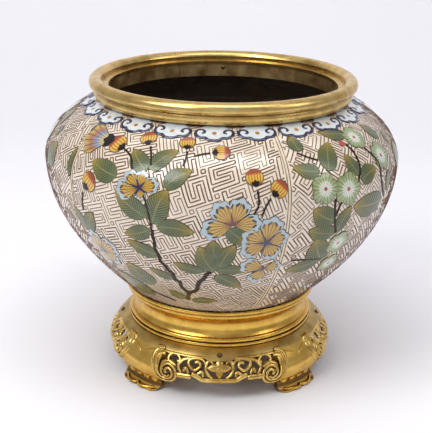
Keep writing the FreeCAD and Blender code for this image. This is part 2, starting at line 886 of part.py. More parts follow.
def panel_point(across, height):
    half_width = size("lower_bulge_radius") * math.sin(math.radians(apron_angle() / 2))
    room = level(DECK_UNDERSIDE) - size("pendant_height")
    rise = size("pendant_height") + height / DRAWN_HEIGHT * room
    return Vector(0, across / DRAWN_HALF_WIDTH * half_width, rise)


def apron_angle():
    return 360.0 / LEG_COUNT - size("leg_angle")


def arc_chain(points):
    places = [panel_point(across, height) for across, height in points]
    edges = []
    for first in range(0, len(places) - 2, 2):
        start, middle, end = places[first : first + 3]
        bend = (middle - start).cross(end - start).Length
        curve = Part.Arc(start, middle, end) if bend > 1e-3 else Part.LineSegment(start, end)
        edges.append(curve.toShape())
    return Part.Wire(edges)


def stroke(points, band):
    """Flat band of even width along a chain of arcs, with round ends, as deep as the panel needs."""
    line = arc_chain(points)
    face = line.makeOffset2D(band / 2, 0, True, False)
    return face.extrude(Vector(2 * size("upper_bulge_radius"), 0, 0))


def petal(angle, reach):
    """Pointed petal from the flower's centre."""
    half = size("petal_width") / 2
    centre = panel_point(0, FLOWER_HEIGHT)
    tip = centre + turn_flat(Vector(0, reach, 0), angle)
    sides = [centre + turn_flat(Vector(0, reach * 0.55, side * half), angle) for side in (1, -1)]
    edges = [Part.Arc(centre, sides[0], tip).toShape(), Part.Arc(tip, sides[1], centre).toShape()]
    return Part.Face(Part.Wire(edges)).extrude(Vector(2 * size("upper_bulge_radius"), 0, 0))


def turn_flat(vector, angle):
    return Rotation(Vector(1, 0, 0), angle).multVec(vector)


def scrollwork():
    """All the bands of one panel, both halves, as one deep solid."""
    half = [stroke(points, size("scroll_band")) for points in SCROLLS]
    half.append(stroke(VOLUTE, size("volute_band")))
    half.append(stroke(FLAT_BAND, size("flat_band")))
    half.append(stroke(PENDANT_BAND, size("frame_band")))
    bands = half + [band.mirror(Vector(0, 0, 0), Vector(0, 1, 0)) for band in half]
    for quarter, reach in enumerate(("across", "up", "across", "up")):
        bands.append(petal(90.0 * quarter, PETAL_REACH[reach]))
    high = level(DECK_UNDERSIDE)
    width = size("upper_bulge_radius")
    low = high - size("top_rail")
    rail = [(-width, low), (width, low), (width, high), (-width, high)]
    bands.append(prism(rail, 2 * width))
    return bands[0].fuse(bands[1:])


def apron_shape():
    wall = swept_section(stand_section(size("apron_wall")), apron_angle())
    pierced = wall.common(scrollwork().fuse(tongue_prism()))
    tongue = tongue_prism().common(swept_section(stand_section(size("tongue_wall")), 180.0))
    return pierced.cut([tongue, apron_screw_bore()])


def make_aprons(labels):
    shape = apron_shape()
    for label, azimuth in zip(labels, apron_azimuths()):
        apron = doc.addObject("Part::Feature", label)
        apron.Shape = shape
        apron.Placement = Placement(Vector(0, 0, 0), turned(azimuth))
        kept(apron, label)


# Rod, washers, bar and nut


def disc(label, radius, bore, low, wall):
    corners = corner_list(
        (bore, low),
        (radius, low),
        (radius, "%s + %s" % (low, wall)),
        (bore, "%s + %s" % (low, wall)),
    )
    return turned_body(label, corners)


def make_rod_set():
    bore = "(rod_diameter / 2 + rod_clearance)"
    rod_end = "(%s - nut_washer_wall - nut_height - rod_tail)" % BAR_UNDERSIDE
    gasket_top = "(%s + gasket_wall)" % LINED_FLOOR
    washer_top = "(%s + gasket_wall + rod_washer_wall)" % LINED_FLOOR
    disc("leather_gasket", "gasket_diameter / 2", bore, LINED_FLOOR, "gasket_wall")
    disc("rod_washer", "rod_washer_diameter / 2", bore, gasket_top, "rod_washer_wall")

    rod = turned_body(
        "tie_rod",
        corner_list(
            ("0", rod_end),
            ("rod_diameter / 2", rod_end),
            ("rod_diameter / 2", washer_top),
            ("rod_head_diameter / 2", washer_top),
            ("rod_head_diameter / 2", "%s + rod_head_height" % washer_top),
            ("0", "%s + rod_head_height" % washer_top),
        ),
    )
    slot = new_sketch(rod, "XZ_Plane", "slot")
    slot_foot = "%s + rod_head_height - rod_slot_depth" % washer_top
    draw_outline(
        slot,
        corner_list(
            ("0 - rod_slot_width / 2", slot_foot),
            ("rod_slot_width / 2", slot_foot),
            ("rod_slot_width / 2", "%s + 2 * rod_slot_depth" % slot_foot),
            ("0 - rod_slot_width / 2", "%s + 2 * rod_slot_depth" % slot_foot),
        ),
    )
    cut_both_ways(rod, slot, names("2 * rod_head_diameter"))

    bar = new_body("clamp_bar")
    bar_sketch = draw_outline(
        new_sketch(bar, "XY_Plane", "outline", names(BAR_UNDERSIDE)),
        corner_list(
            ("0 - bar_length / 2", "0 - bar_width / 2"),
            ("bar_length / 2", "0 - bar_width / 2"),
            ("bar_length / 2", "bar_width / 2"),
            ("0 - bar_length / 2", "bar_width / 2"),
        ),
        bulge_list(side1="bar_width / 5", side3="bar_width / 5"),
    )
    draw_circle(bar_sketch, "0", "0", names(bore))
    pad(bar, bar_sketch, names("bar_wall"))

    nut_washer_foot = "%s - nut_washer_wall" % BAR_UNDERSIDE
    disc("nut_washer", "nut_washer_diameter / 2", bore, nut_washer_foot, "nut_washer_wall")
    make_nut()


def make_nut():
    nut = new_body("tie_nut")
    foot = "%s - nut_washer_wall - nut_height" % BAR_UNDERSIDE
    sketch = new_sketch(nut, "XY_Plane", "outline", names(foot))
    corners = []
    for corner in range(6):
        angle = math.radians(60.0 * corner)
        reach = "nut_width / sqrt(3) * %.12f"
        corners.append((reach % math.cos(angle), reach % math.sin(angle)))
    draw_outline(sketch, corner_list(*corners))
    draw_circle(sketch, "0", "0", names("rod_diameter / 2"))
    pad(nut, sketch, names("nut_height"))


def check_and_write():
    doc.recompute()
    for item in doc.Objects:
        if "Invalid" in item.State or "Error" in item.State:
            raise RuntimeError("failed object: " + item.Label)
    for part in sub_parts:
        if part.Shape.isNull() or not part.Shape.isValid():
            raise RuntimeError("bad shape: " + part.Label)
    os.makedirs("parts", exist_ok=True)
    for part in sub_parts:
        part.Shape.exportStep("parts/%s.step" % part.Label)
        print(part.Label, len(part.Shape.Solids), "solids", round(part.Shape.Volume), "mm3")


make_vessel()
make_rim()
make_collar()
make_collar_pins()
make_socle()
make_deck()
leg_names = ("leg_front_right", "leg_rear_right", "leg_rear_left", "leg_front_left")
for leg_name, leg_azimuth in zip(leg_names, leg_azimuths()):
    make_leg(leg_name, leg_azimuth)
make_aprons(("apron_front", "apron_right", "apron_rear", "apron_left"))
make_apron_screws()
make_leg_screws()
make_rod_set()
check_and_write()
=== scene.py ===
import math

import bmesh
import bpy
import numpy as np
from mathutils import Matrix, Vector


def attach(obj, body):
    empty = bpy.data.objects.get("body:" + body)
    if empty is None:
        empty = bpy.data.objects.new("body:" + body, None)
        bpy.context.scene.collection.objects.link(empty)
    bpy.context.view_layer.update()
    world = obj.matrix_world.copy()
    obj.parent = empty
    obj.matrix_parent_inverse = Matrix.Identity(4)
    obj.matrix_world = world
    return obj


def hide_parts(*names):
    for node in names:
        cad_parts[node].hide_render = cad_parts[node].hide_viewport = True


# Cloisonne cachepot: the solids of the frame with their enamel, wires and gilding.
# Sizes are in millimetres and turned to metres where a mesh is made. An azimuth runs from the front
# (-Y) towards +X, in degrees.

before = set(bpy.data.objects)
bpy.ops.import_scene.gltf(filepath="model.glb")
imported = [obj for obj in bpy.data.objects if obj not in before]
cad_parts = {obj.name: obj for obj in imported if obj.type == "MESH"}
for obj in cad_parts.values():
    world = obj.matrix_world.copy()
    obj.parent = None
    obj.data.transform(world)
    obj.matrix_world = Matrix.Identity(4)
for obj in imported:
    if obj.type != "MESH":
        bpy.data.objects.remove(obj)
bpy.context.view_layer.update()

MM = 0.001
FULL_TURN = 2 * math.pi

# Vessel outline over the enamel, at the crest of a lobe, as in the solids
BELLY_RADIUS = 142.4
BELLY_HEIGHT = 180.0
NECK_RADIUS = 99.0
NECK_HEIGHT = 225.0
SHOULDER_FULLNESS = 1.22
FOOT_RADIUS = 79.0
FOOT_HEIGHT = 71.0
LOBE_COUNT = 5
LOBE_PITCH = 360.0 / LOBE_COUNT
CREASE_DEPTH = 2.4
CREASE_AZIMUTH = 19.5
ENAMEL_WALL = 0.45
# The ground lies this far inside the solid's outside, so that wires and petals stay within it
GROUND_INSET = 0.5

# The photograph's camera: a frame of 432 x 433 pixels
PHOTO_SIZE = (432, 433)
FOCAL_PIXELS = 1000.0
SENSOR_WIDTH = 36.0
CAMERA_ELEVATION = 19.7
CAMERA_DISTANCE = 834.2
CAMERA_ROLL = 0.8
CAMERA_TARGET = (-4.35, 0.0, 121.7)
CLIP_END = 50.0


# Camera


def camera_axes():
    """Eye in millimetres, and the right, up and forward directions of the picture."""
    lift, roll = math.radians(CAMERA_ELEVATION), math.radians(CAMERA_ROLL)
    back = np.array([0.0, -math.cos(lift), math.sin(lift)])
    level = np.array([1.0, 0.0, 0.0])
    upright = np.cross(back, level)
    right = level * math.cos(roll) + upright * math.sin(roll)
    up = upright * math.cos(roll) - level * math.sin(roll)
    return np.array(CAMERA_TARGET) + back * CAMERA_DISTANCE, right, up, -back


def place_camera():
    eye, right, up, forward = camera_axes()
    data = bpy.data.cameras.new("photo_camera")
    data.sensor_width = SENSOR_WIDTH
    data.lens = SENSOR_WIDTH * FOCAL_PIXELS / max(PHOTO_SIZE)
    data.clip_end = CLIP_END
    camera = new_object("photo_camera", data)
    turn = Matrix((right, up, -forward)).transposed().to_4x4()
    camera.matrix_world = Matrix.Translation(Vector(eye * MM)) @ turn
    bpy.context.scene.camera = camera


# Surface of the vessel


def outline_radius(height):
    """Radius at the crest of a lobe, for one height or an array of them."""
    height = np.asarray(height, float)
    below = (height - BELLY_HEIGHT) / (BELLY_HEIGHT - FOOT_HEIGHT)
    low = BELLY_RADIUS - (BELLY_RADIUS - FOOT_RADIUS) * below**2
    above = np.clip((height - BELLY_HEIGHT) / (NECK_HEIGHT - BELLY_HEIGHT), 0.0, 1.0)
    whole = 1 - math.sqrt(1 - 1 / SHOULDER_FULLNESS**2)
    fall = (1 - np.sqrt(1 - (above / SHOULDER_FULLNESS) ** 2)) / whole
    high = BELLY_RADIUS - (BELLY_RADIUS - NECK_RADIUS) * fall
    return np.where(height < BELLY_HEIGHT, low, high)


def outline_slope(lower, upper):
    """Change of the radius per millimetre of height, between two heights close to each other."""
    return (outline_radius(upper) - outline_radius(lower)) / (upper - lower)


SLOPE_STEP = 0.05


def lobed_radius(azimuth, height):
    """Radius of the five-lobed ring of arcs at a height."""
    crest = outline_radius(height)
    share = (np.asarray(height, float) - FOOT_HEIGHT) / (NECK_HEIGHT - FOOT_HEIGHT)
    crease = crest - CREASE_DEPTH * (1 - (2 * np.clip(share, 0, 1) - 1) ** 4)
    from_crease = (np.asarray(azimuth, float) - CREASE_AZIMUTH) % LOBE_PITCH
    swing = np.radians(from_crease - LOBE_PITCH / 2)
    half = math.radians(LOBE_PITCH / 2)
    centre = (crest**2 - crease**2) / (2 * (crest - crease * math.cos(half)))
    return centre * np.cos(swing) + np.sqrt((crest - centre) ** 2 - (centre * np.sin(swing)) ** 2)


RAIL_POINTS = 800
RAIL_HEIGHTS = np.linspace(FOOT_HEIGHT, NECK_HEIGHT, RAIL_POINTS)
RAIL_STEPS = np.hypot(np.diff(RAIL_HEIGHTS), np.diff(outline_radius(RAIL_HEIGHTS)))
RAIL_LENGTHS = np.concatenate([[0.0], np.cumsum(RAIL_STEPS)])
RAIL_TOP = RAIL_LENGTHS[-1]


def length_at(height):
    """Length along the outline from the foot up to a height."""
    return np.interp(height, RAIL_HEIGHTS, RAIL_LENGTHS)


def height_at(length):
    """Height of a length along the outline, which ends at the foot and at the neck."""
    return np.interp(np.clip(length, 0.0, RAIL_TOP), RAIL_LENGTHS, RAIL_HEIGHTS)


def on_vessel(azimuth, height, lift=0.0):
    """Points in metres on the enamel ground, raised by a lift along the outline's normal."""
    height = np.clip(height, FOOT_HEIGHT, NECK_HEIGHT)
    lower = np.clip(height - SLOPE_STEP, FOOT_HEIGHT, NECK_HEIGHT)
    upper = np.clip(height + SLOPE_STEP, FOOT_HEIGHT, NECK_HEIGHT)
    slope = outline_slope(lower, upper)
    slant = np.sqrt(1 + slope**2)
    rise = lift - GROUND_INSET
    radius = lobed_radius(azimuth, height) + rise / slant
    turn = np.radians(azimuth)
    points = np.stack([radius * np.sin(turn), -radius * np.cos(turn), height - rise * slope / slant], -1)
    return points * MM


# Stretch of a line of sight that is searched for the vessel, before and beyond the target's distance
SIGHT_BEFORE = 170.0
SIGHT_BEYOND = 60.0
SIGHT_STEPS = 6000


def picked(pixel):
    """Azimuth and height of the vessel's surface where the photograph shows a pixel."""
    eye, right, up, forward = camera_axes()
    across = (pixel[0] - PHOTO_SIZE[0] / 2) / FOCAL_PIXELS
    down = (pixel[1] - PHOTO_SIZE[1] / 2) / FOCAL_PIXELS
    ray = forward + right * across - up * down
    ray /= np.linalg.norm(ray)
    steps = np.linspace(CAMERA_DISTANCE - SIGHT_BEFORE, CAMERA_DISTANCE + SIGHT_BEYOND, SIGHT_STEPS)
    track = eye + steps[:, None] * ray
    azimuth = np.degrees(np.arctan2(track[:, 0], -track[:, 1]))
    radius = np.hypot(track[:, 0], track[:, 1])
    within = (track[:, 2] > FOOT_HEIGHT) & (track[:, 2] < NECK_HEIGHT)
    gap = np.where(within, radius - lobed_radius(azimuth, track[:, 2]), np.inf)
    inside = np.flatnonzero(gap < 0)
    best = inside[0] if len(inside) else int(np.argmin(gap))
    return float(azimuth[best]), float(track[best, 2])


def aimed(start, end, shift):
    """Place (azimuth, height, turn) of a start pixel that faces an end pixel, and how far apart they are.

    The place is shifted round the pot by some degrees.
    """
    (azimuth, height), (far_azimuth, far_height) = picked(start), picked(end)
    middle = outline_radius((height + far_height) / 2)
    across = math.radians(far_azimuth - azimuth) * float(middle)
    upward = float(length_at(far_height) - length_at(height))
    return (azimuth + shift, height, math.atan2(upward, across)), math.hypot(across, upward)


def drape(place, points, lift):
    """Flat points, in millimetres round a place (azimuth, height, turn), laid on the vessel."""
    azimuth, height, turn = place
    cos, sin = math.cos(turn), math.sin(turn)
    points = np.asarray(points, float)
    across = points[..., 0] * cos - points[..., 1] * sin
    upward = points[..., 0] * sin + points[..., 1] * cos
    heights = height_at(length_at(height) + upward)
    return on_vessel(azimuth + np.degrees(across / outline_radius(heights)), heights, lift)


# Flat shapes


def patch_shares(rows, columns):
    """Grids of the shares along (0 to 1) and across (-1 to 1) a patch, and its UVs."""
    share, side = np.meshgrid(np.linspace(0, 1, rows), np.linspace(-1, 1, columns), indexing="ij")
    return share, side, np.stack([share, (side + 1) / 2], -1)


def round_shares(rows, columns):
    """Grids of the share out from the middle and the angle round a disc, and its UVs."""
    share, swing = np.meshgrid(np.linspace(0, 1, rows), np.linspace(0, FULL_TURN, columns), indexing="ij")
    return share, swing, np.stack([share, swing / FULL_TURN], -1)


def polar(reach, swing):
    return np.stack([reach * np.cos(swing), reach * np.sin(swing)], -1)


def unit(ways):
    return ways / np.hypot(ways[:, 0], ways[:, 1])[:, None]


def left_of(ways):
    return np.stack([-ways[:, 1], ways[:, 0]], -1)


def smooth_path(corners, per_corner=6):
    """Catmull-Rom curve through corner points."""
    corners = np.asarray(corners, float)
    padded = np.concatenate([[2 * corners[0] - corners[1]], corners, [2 * corners[-1] - corners[-2]]])
    points = []
    for index in range(1, len(padded) - 2):
        before, start, end, after = padded[index - 1 : index + 3]
        for share in np.arange(per_corner) / per_corner:
            line = 2 * start + (end - before) * share
            bend = (2 * before - 5 * start + 4 * end - after) * share**2
            twist = (3 * start - 3 * end + after - before) * share**3
            points.append(0.5 * (line + bend + twist))
    points.append(padded[-2])
    return np.array(points)


# Meshes

# Draped patches are closed bodies that reach this far down, into the enamel ground
PATCH_DEPTH = 0.7
# Points closer than this, in metres, are one
MERGE_DISTANCE = 1e-6
# Faces that turn by more than this, in radians, meet in a sharp edge
SHARP_EDGE = 1.0


def new_object(name, data):
    made = bpy.data.objects.new(name, data)
    bpy.context.scene.collection.objects.link(made)
    return made


def new_mesh(name, vertices, faces, material):
    """Mesh of smooth faces with one finish."""
    mesh = bpy.data.meshes.new(name)
    mesh.from_pydata(vertices, [], faces)
    mesh.polygons.foreach_set("use_smooth", [True] * len(mesh.polygons))
    mesh.materials.append(material)
    return mesh


def finished(piece, slot, *nodes):
    """Hands a piece over to the frame, in place of CAD nodes where it stands for some."""
    if nodes:
        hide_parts(*nodes)
    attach(piece, "root")


def sunk(points):
    """Points in metres, moved down along the outline's normal by the depth of a patch."""
    height = points[:, 2] / MM
    slope = outline_slope(height - SLOPE_STEP, height + SLOPE_STEP)
    turn = np.arctan2(points[:, 1], points[:, 0])
    normals = np.stack([np.cos(turn), np.sin(turn), -slope], -1) / np.sqrt(1 + slope**2)[:, None]
    return points - normals * PATCH_DEPTH * MM


def close_patches(mesh):
    """Gives the patches of a mesh undersides and sides, with sharp edges between them."""
    shell = bmesh.new()
    shell.from_mesh(mesh)
    bmesh.ops.remove_doubles(shell, verts=shell.verts, dist=MERGE_DISTANCE)
    under = bmesh.ops.extrude_face_region(shell, geom=shell.faces, use_keep_orig=True)["geom"]
    corners = [item for item in under if isinstance(item, bmesh.types.BMVert)]
    for corner, place in zip(corners, sunk(np.array([corner.co for corner in corners]))):
        corner.co = place
    bmesh.ops.recalc_face_normals(shell, faces=shell.faces)
    for edge in shell.edges:
        edge.smooth = edge.calc_face_angle(0.0) < SHARP_EDGE
    shell.to_mesh(mesh)
    shell.free()


def grid_piece(name, grids, material, slot):
    """One mesh of many draped patches: each is a grid of points with a grid of (along, across) UVs."""
    vertices, faces, uvs = [], [], []
    for points, coordinates in grids:
        rows, columns = points.shape[:2]
        first = len(vertices)
        vertices.extend(points.reshape(-1, 3).tolist())
        uvs.extend(coordinates.reshape(-1, 2).tolist())
        for row in range(rows - 1):
            for column in range(columns - 1):
                corner = first + row * columns + column
                faces.append((corner, corner + columns, corner + columns + 1, corner + 1))
    mesh = new_mesh(name, vertices, faces, material)
    layer = mesh.uv_layers.new(name="patch")
    for loop in mesh.loops:
        layer.data[loop.index].uv = uvs[loop.vertex_index]
    close_patches(mesh)
    finished(new_object(name, mesh), slot)


def wire_tree():
    """Geometry Nodes tree that runs a thin rod along every chain of edges."""
    tree = bpy.data.node_groups.new("wire_along_edges", "GeometryNodeTree")
    kinds = {"Geometry": "Geometry", "Radius": "Float", "Sides": "Int", "Finish": "Material"}
    for name, kind in kinds.items():
        tree.interface.new_socket(name, in_out="INPUT", socket_type="NodeSocket" + kind)
    tree.interface.new_socket("Geometry", in_out="OUTPUT", socket_type="NodeSocketGeometry")
    given = add(tree, "NodeGroupInput", output=None)
    path = add(tree, "GeometryNodeMeshToCurve", {"Mesh": given["Geometry"]})
    sizes = {"Resolution": given["Sides"], "Radius": given["Radius"]}
    ring = add(tree, "GeometryNodeCurvePrimitiveCircle", sizes, mode="RADIUS")
    sweep = {"Curve": path, "Profile Curve": ring, "Fill Caps": True}
    rods = add(tree, "GeometryNodeCurveToMesh", sweep)
    whole = add(tree, "GeometryNodeRealizeInstances", {"Geometry": rods})
    finish = add(tree, "GeometryNodeSetMaterial", {"Geometry": whole, "Material": given["Finish"]})
    add(tree, "NodeGroupOutput", {"Geometry": finish}, None)
    return tree


def wire_piece(name, lines, radius, material, slot="gilt_bronze", sides=4):
    """Rods of one radius, in millimetres, along polylines that are given as arrays of points in metres."""
    vertices, edges = [], []
    for line in lines:
        first = len(vertices)
        vertices.extend(np.asarray(line).tolist())
        edges.extend((first + step, first + step + 1) for step in range(len(line) - 1))
    mesh = bpy.data.meshes.new(name + "_paths")
    mesh.from_pydata(vertices, edges, [])
    piece = new_object(name, mesh)
    modifier = piece.modifiers.new("wires", "NODES")
    modifier.node_group = WIRES
    sizes = {"Radius": radius * MM, "Sides": sides, "Finish": material}
    for item in WIRES.interface.items_tree:
        if item.in_out == "INPUT" and item.name in sizes:
            modifier[item.identifier] = sizes[item.name]
    make_plain(piece)
    finished(piece, slot)


def make_plain(piece):
    """Puts what the modifiers give into the piece's own mesh."""
    shown = piece.evaluated_get(bpy.context.evaluated_depsgraph_get())
    plain = bpy.data.meshes.new_from_object(shown)
    piece.modifiers.clear()
    paths = piece.data
    piece.data = plain
    bpy.data.meshes.remove(paths)
    plain.name = piece.name


# Materials

MATH, RAMP, MIX = "ShaderNodeMath", "ShaderNodeValToRGB", "ShaderNodeMix"
# Colour sockets of a mix node, whose names it also uses for numbers
MIX_UNDER, MIX_OVER, MIX_COLOUR = 6, 7, 2
# Refractive index of the fired glass
GLASS_IOR = 1.54


def hex_colour(code):
    """Linear colour of an sRGB hex value."""
    parts = [int(code[place : place + 2], 16) / 255 for place in (1, 3, 5)]
    linear = [part / 12.92 if part <= 0.04045 else ((part + 0.055) / 1.055) ** 2.4 for part in parts]
    return (*linear, 1.0)


def set_inputs(tree, node, inputs):
    """Links inputs of a node, or sets them to numbers or hex colours."""
    for name, given in inputs.items():
        socket = node.inputs[name]
        if isinstance(given, bpy.types.NodeSocket):
            tree.links.new(given, socket)
        else:
            socket.default_value = hex_colour(given) if isinstance(given, str) else given


def add(tree, kind, inputs=None, output=0, stops=None, **settings):
    """Adds a node with its settings, inputs and colour stops. Gives one output, or all of them for None."""
    made = tree.nodes.new(kind)
    for name, setting in settings.items():
        setattr(made, name, setting)
    set_inputs(tree, made, inputs or {})
    if stops:
        elements = made.color_ramp.elements
        while len(elements) < len(stops):
            elements.new(1.0)
        for element, (position, code) in zip(elements, stops):
            element.position = position
            element.color = hex_colour(code)
    return made.outputs if output is None else made.outputs[output]


def new_material(name):
    """Material with a Principled shader, and its node tree."""
    material = bpy.data.materials.new(name)
    material.use_nodes = True
    return material, material.node_tree


def set_shader(tree, **values):
    """Sets or links inputs of the Principled shader, with underscores for the spaces of their names."""
    inputs = {name.replace("_", " "): given for name, given in values.items()}
    set_inputs(tree, tree.nodes["Principled BSDF"], inputs)


def noise(tree, size, detail=3.0):
    """Noise over object coordinates whose cells are about the given size in millimetres."""
    place = add(tree, "ShaderNodeTexCoord", output="Object")
    cells = {"Vector": place, "Scale": 1 / (size * MM), "Detail": detail}
    return add(tree, "ShaderNodeTexNoise", cells, "Fac")


def patch_coordinates(tree):
    """The along and across shares of a draped patch."""
    uv = add(tree, "ShaderNodeUVMap", uv_map="patch")
    parts = add(tree, "ShaderNodeSeparateXYZ", {"Vector": uv}, None)
    return parts["X"], parts["Y"]


def ribs(tree, run, beats, half_width):
    """Mask of wire ribs along a run of some beats: one on every second beat, half its width in beats."""
    beat = add(tree, MATH, {0: run, 1: beats}, operation="MULTIPLY")
    beat = add(tree, MATH, {0: beat, 1: 1.0}, operation="PINGPONG")
    return add(tree, MATH, {0: beat, 1: half_width}, operation="LESS_THAN")


def white_enamel():
    # Opaque white glass enamel, fired and stoned smooth: creamy, faintly clouded, with a hard gloss
    material, tree = new_material("fired_white_enamel")
    clouds = add(tree, RAMP, {"Fac": noise(tree, size=14.0)}, stops=[(0.35, "#E8D9C3"), (0.65, "#EFE1CD")])
    ripples = {"Height": noise(tree, size=9.0, detail=1.0), "Strength": 0.12, "Distance": 0.4 * MM}
    ripple = add(tree, "ShaderNodeBump", ripples)
    set_shader(tree, Base_Color=clouds, Roughness=0.16, IOR=GLASS_IOR, Normal=ripple)
    set_shader(tree, Coat_Weight=1.0, Coat_Roughness=0.04)
    return material


def enamel(name, pale, dark, size=2.5, gloss=0.8):
    """Coloured glass enamel with a fine cloud of a darker shade, and a share of its full gloss."""
    material, tree = new_material(name)
    clouds = add(tree, RAMP, {"Fac": noise(tree, size)}, stops=[(0.3, dark), (0.7, pale)])
    set_shader(tree, Base_Color=clouds, Roughness=0.18, IOR=GLASS_IOR)
    set_shader(tree, Coat_Weight=gloss, Specular_IOR_Level=0.1 + 0.5 * gloss)
    return material


def cloison_wire(name, bright, dull, metallic, roughness):
    """Drawn metal strip, stoned level with the enamel and dulled between polishings."""
    material, tree = new_material(name)
    tone = add(tree, RAMP, {"Fac": noise(tree, size=6.0)}, stops=[(0.35, dull), (0.7, bright)])
    set_shader(tree, Base_Color=tone, Metallic=metallic, Roughness=roughness)
    return material


LEAF_SHADES = [(0.0, "#55704E"), (0.3, "#3A5240"), (0.6, "#4E5A35"), (0.85, "#7C7234"), (1.0, "#B8963A")]
LEAF_VEIN = "#9C9058"
LEAF_VEIN_STRENGTH = 0.7
LEAF_RIB_SLANT = 0.5
LEAF_RIB_BEATS = 26.0
LEAF_RIB_HALF_WIDTH = 0.26
LEAF_SPINE_HALF_WIDTH = 0.03


def leaf_enamel():
    # Leaf cells shaded in the wet glass from a deep green base to an olive and yellow tip, with vein wires.
    # The veins are fewer and wider than real ones, so that they show
    material, tree = new_material("shaded_leaf_enamel")
    along, across = patch_coordinates(tree)
    body = add(tree, RAMP, {"Fac": along}, stops=LEAF_SHADES)
    spread = add(tree, MATH, {0: across, 1: 0.5}, operation="SUBTRACT")
    spread = add(tree, MATH, {0: spread}, operation="ABSOLUTE")
    lag = add(tree, MATH, {0: spread, 1: LEAF_RIB_SLANT}, operation="MULTIPLY")
    run = add(tree, MATH, {0: along, 1: lag}, operation="SUBTRACT")
    spine = add(tree, MATH, {0: spread, 1: LEAF_SPINE_HALF_WIDTH}, operation="LESS_THAN")
    side_veins = ribs(tree, run, LEAF_RIB_BEATS, LEAF_RIB_HALF_WIDTH)
    veins = add(tree, MATH, {0: side_veins, 1: spine}, operation="MAXIMUM")
    veins = add(tree, MATH, {0: veins, 1: LEAF_VEIN_STRENGTH}, operation="MULTIPLY")
    layers = {"Factor": veins, MIX_UNDER: body, MIX_OVER: LEAF_VEIN}
    veined = add(tree, MIX, layers, MIX_COLOUR, data_type="RGBA")
    set_shader(tree, Base_Color=veined, Roughness=0.22, Specular_IOR_Level=0.4, Coat_Weight=0.2)
    return material


# Where the yellow of a petal ends and its blue edge begins, as a share of its length
PETAL_YELLOW_END = 0.79
PETAL_RIB = "#74481C"
PETAL_RIB_BEATS = 12.0
PETAL_RIB_HALF_WIDTH = 0.24
PETAL_EDGE = "#AEC0C6"
PETAL_DOTS_ACROSS = 4.0
PETAL_DOT_FLATNESS = 5.2
PETAL_DOT_RADIUS = 0.34


def petal_enamel(name, heart, dot):
    """Yellow petal with brown ribs, a pale blue edge and a row of dark dots where the two meet."""
    material, tree = new_material(name)
    along, across = patch_coordinates(tree)
    shades = [(0.0, heart), (0.16, "#94682A"), (0.36, "#C29C3E"), (1.0, "#CAA648")]
    colour = add(tree, RAMP, {"Fac": along}, stops=shades)
    edge = add(tree, MATH, {0: along, 1: PETAL_YELLOW_END}, operation="GREATER_THAN")
    row = add(tree, MATH, {0: across, 1: PETAL_DOTS_ACROSS}, operation="MULTIPLY")
    row = add(tree, MATH, {0: row}, operation="FRACT")
    row = add(tree, MATH, {0: row, 1: 0.5}, operation="SUBTRACT")
    rank = add(tree, MATH, {0: along, 1: PETAL_YELLOW_END}, operation="SUBTRACT")
    rank = add(tree, MATH, {0: rank, 1: PETAL_DOT_FLATNESS}, operation="MULTIPLY")
    spot = add(tree, "ShaderNodeCombineXYZ", {"X": row, "Y": rank})
    far = add(tree, "ShaderNodeVectorMath", {0: spot}, "Value", operation="LENGTH")
    dots = add(tree, MATH, {0: far, 1: PETAL_DOT_RADIUS}, operation="LESS_THAN")
    brown = ribs(tree, across, PETAL_RIB_BEATS, PETAL_RIB_HALF_WIDTH)
    for mask, code in ((brown, PETAL_RIB), (edge, PETAL_EDGE), (dots, dot)):
        layers = {"Factor": mask, MIX_UNDER: colour, MIX_OVER: code}
        colour = add(tree, MIX, layers, MIX_COLOUR, data_type="RGBA")
    set_shader(tree, Base_Color=colour, Roughness=0.18, IOR=GLASS_IOR, Coat_Weight=0.8)
    return material


FINE_RIB_HALF_WIDTH = 0.22


def ribbed_enamel(name, shades, rib, beats):
    """Enamel shaded from the base of a patch to its tip, with fine ribs of wire."""
    material, tree = new_material(name)
    along, across = patch_coordinates(tree)
    body = add(tree, RAMP, {"Fac": along}, stops=shades)
    fine = ribs(tree, across, beats, FINE_RIB_HALF_WIDTH)
    layers = {"Factor": fine, MIX_UNDER: body, MIX_OVER: rib}
    ribbed = add(tree, MIX, layers, MIX_COLOUR, data_type="RGBA")
    set_shader(tree, Base_Color=ribbed, Roughness=0.2, IOR=GLASS_IOR, Coat_Weight=0.8)
    return material


# Reach in millimetres of the brown left in hollows, and how open a place is where it is all brown, or none
RECESS = 5.0
RECESS_SHUT = 0.25
RECESS_OPEN = 0.75
# How much smoother and rougher than its mean the gilding is worn
WORN_SMOOTH, WORN_ROUGH = 0.05, 0.06
# Flat brown painted over the hollow above the toes: painted shade
HOLLOW_PAINTED_SHADE = "#806032"


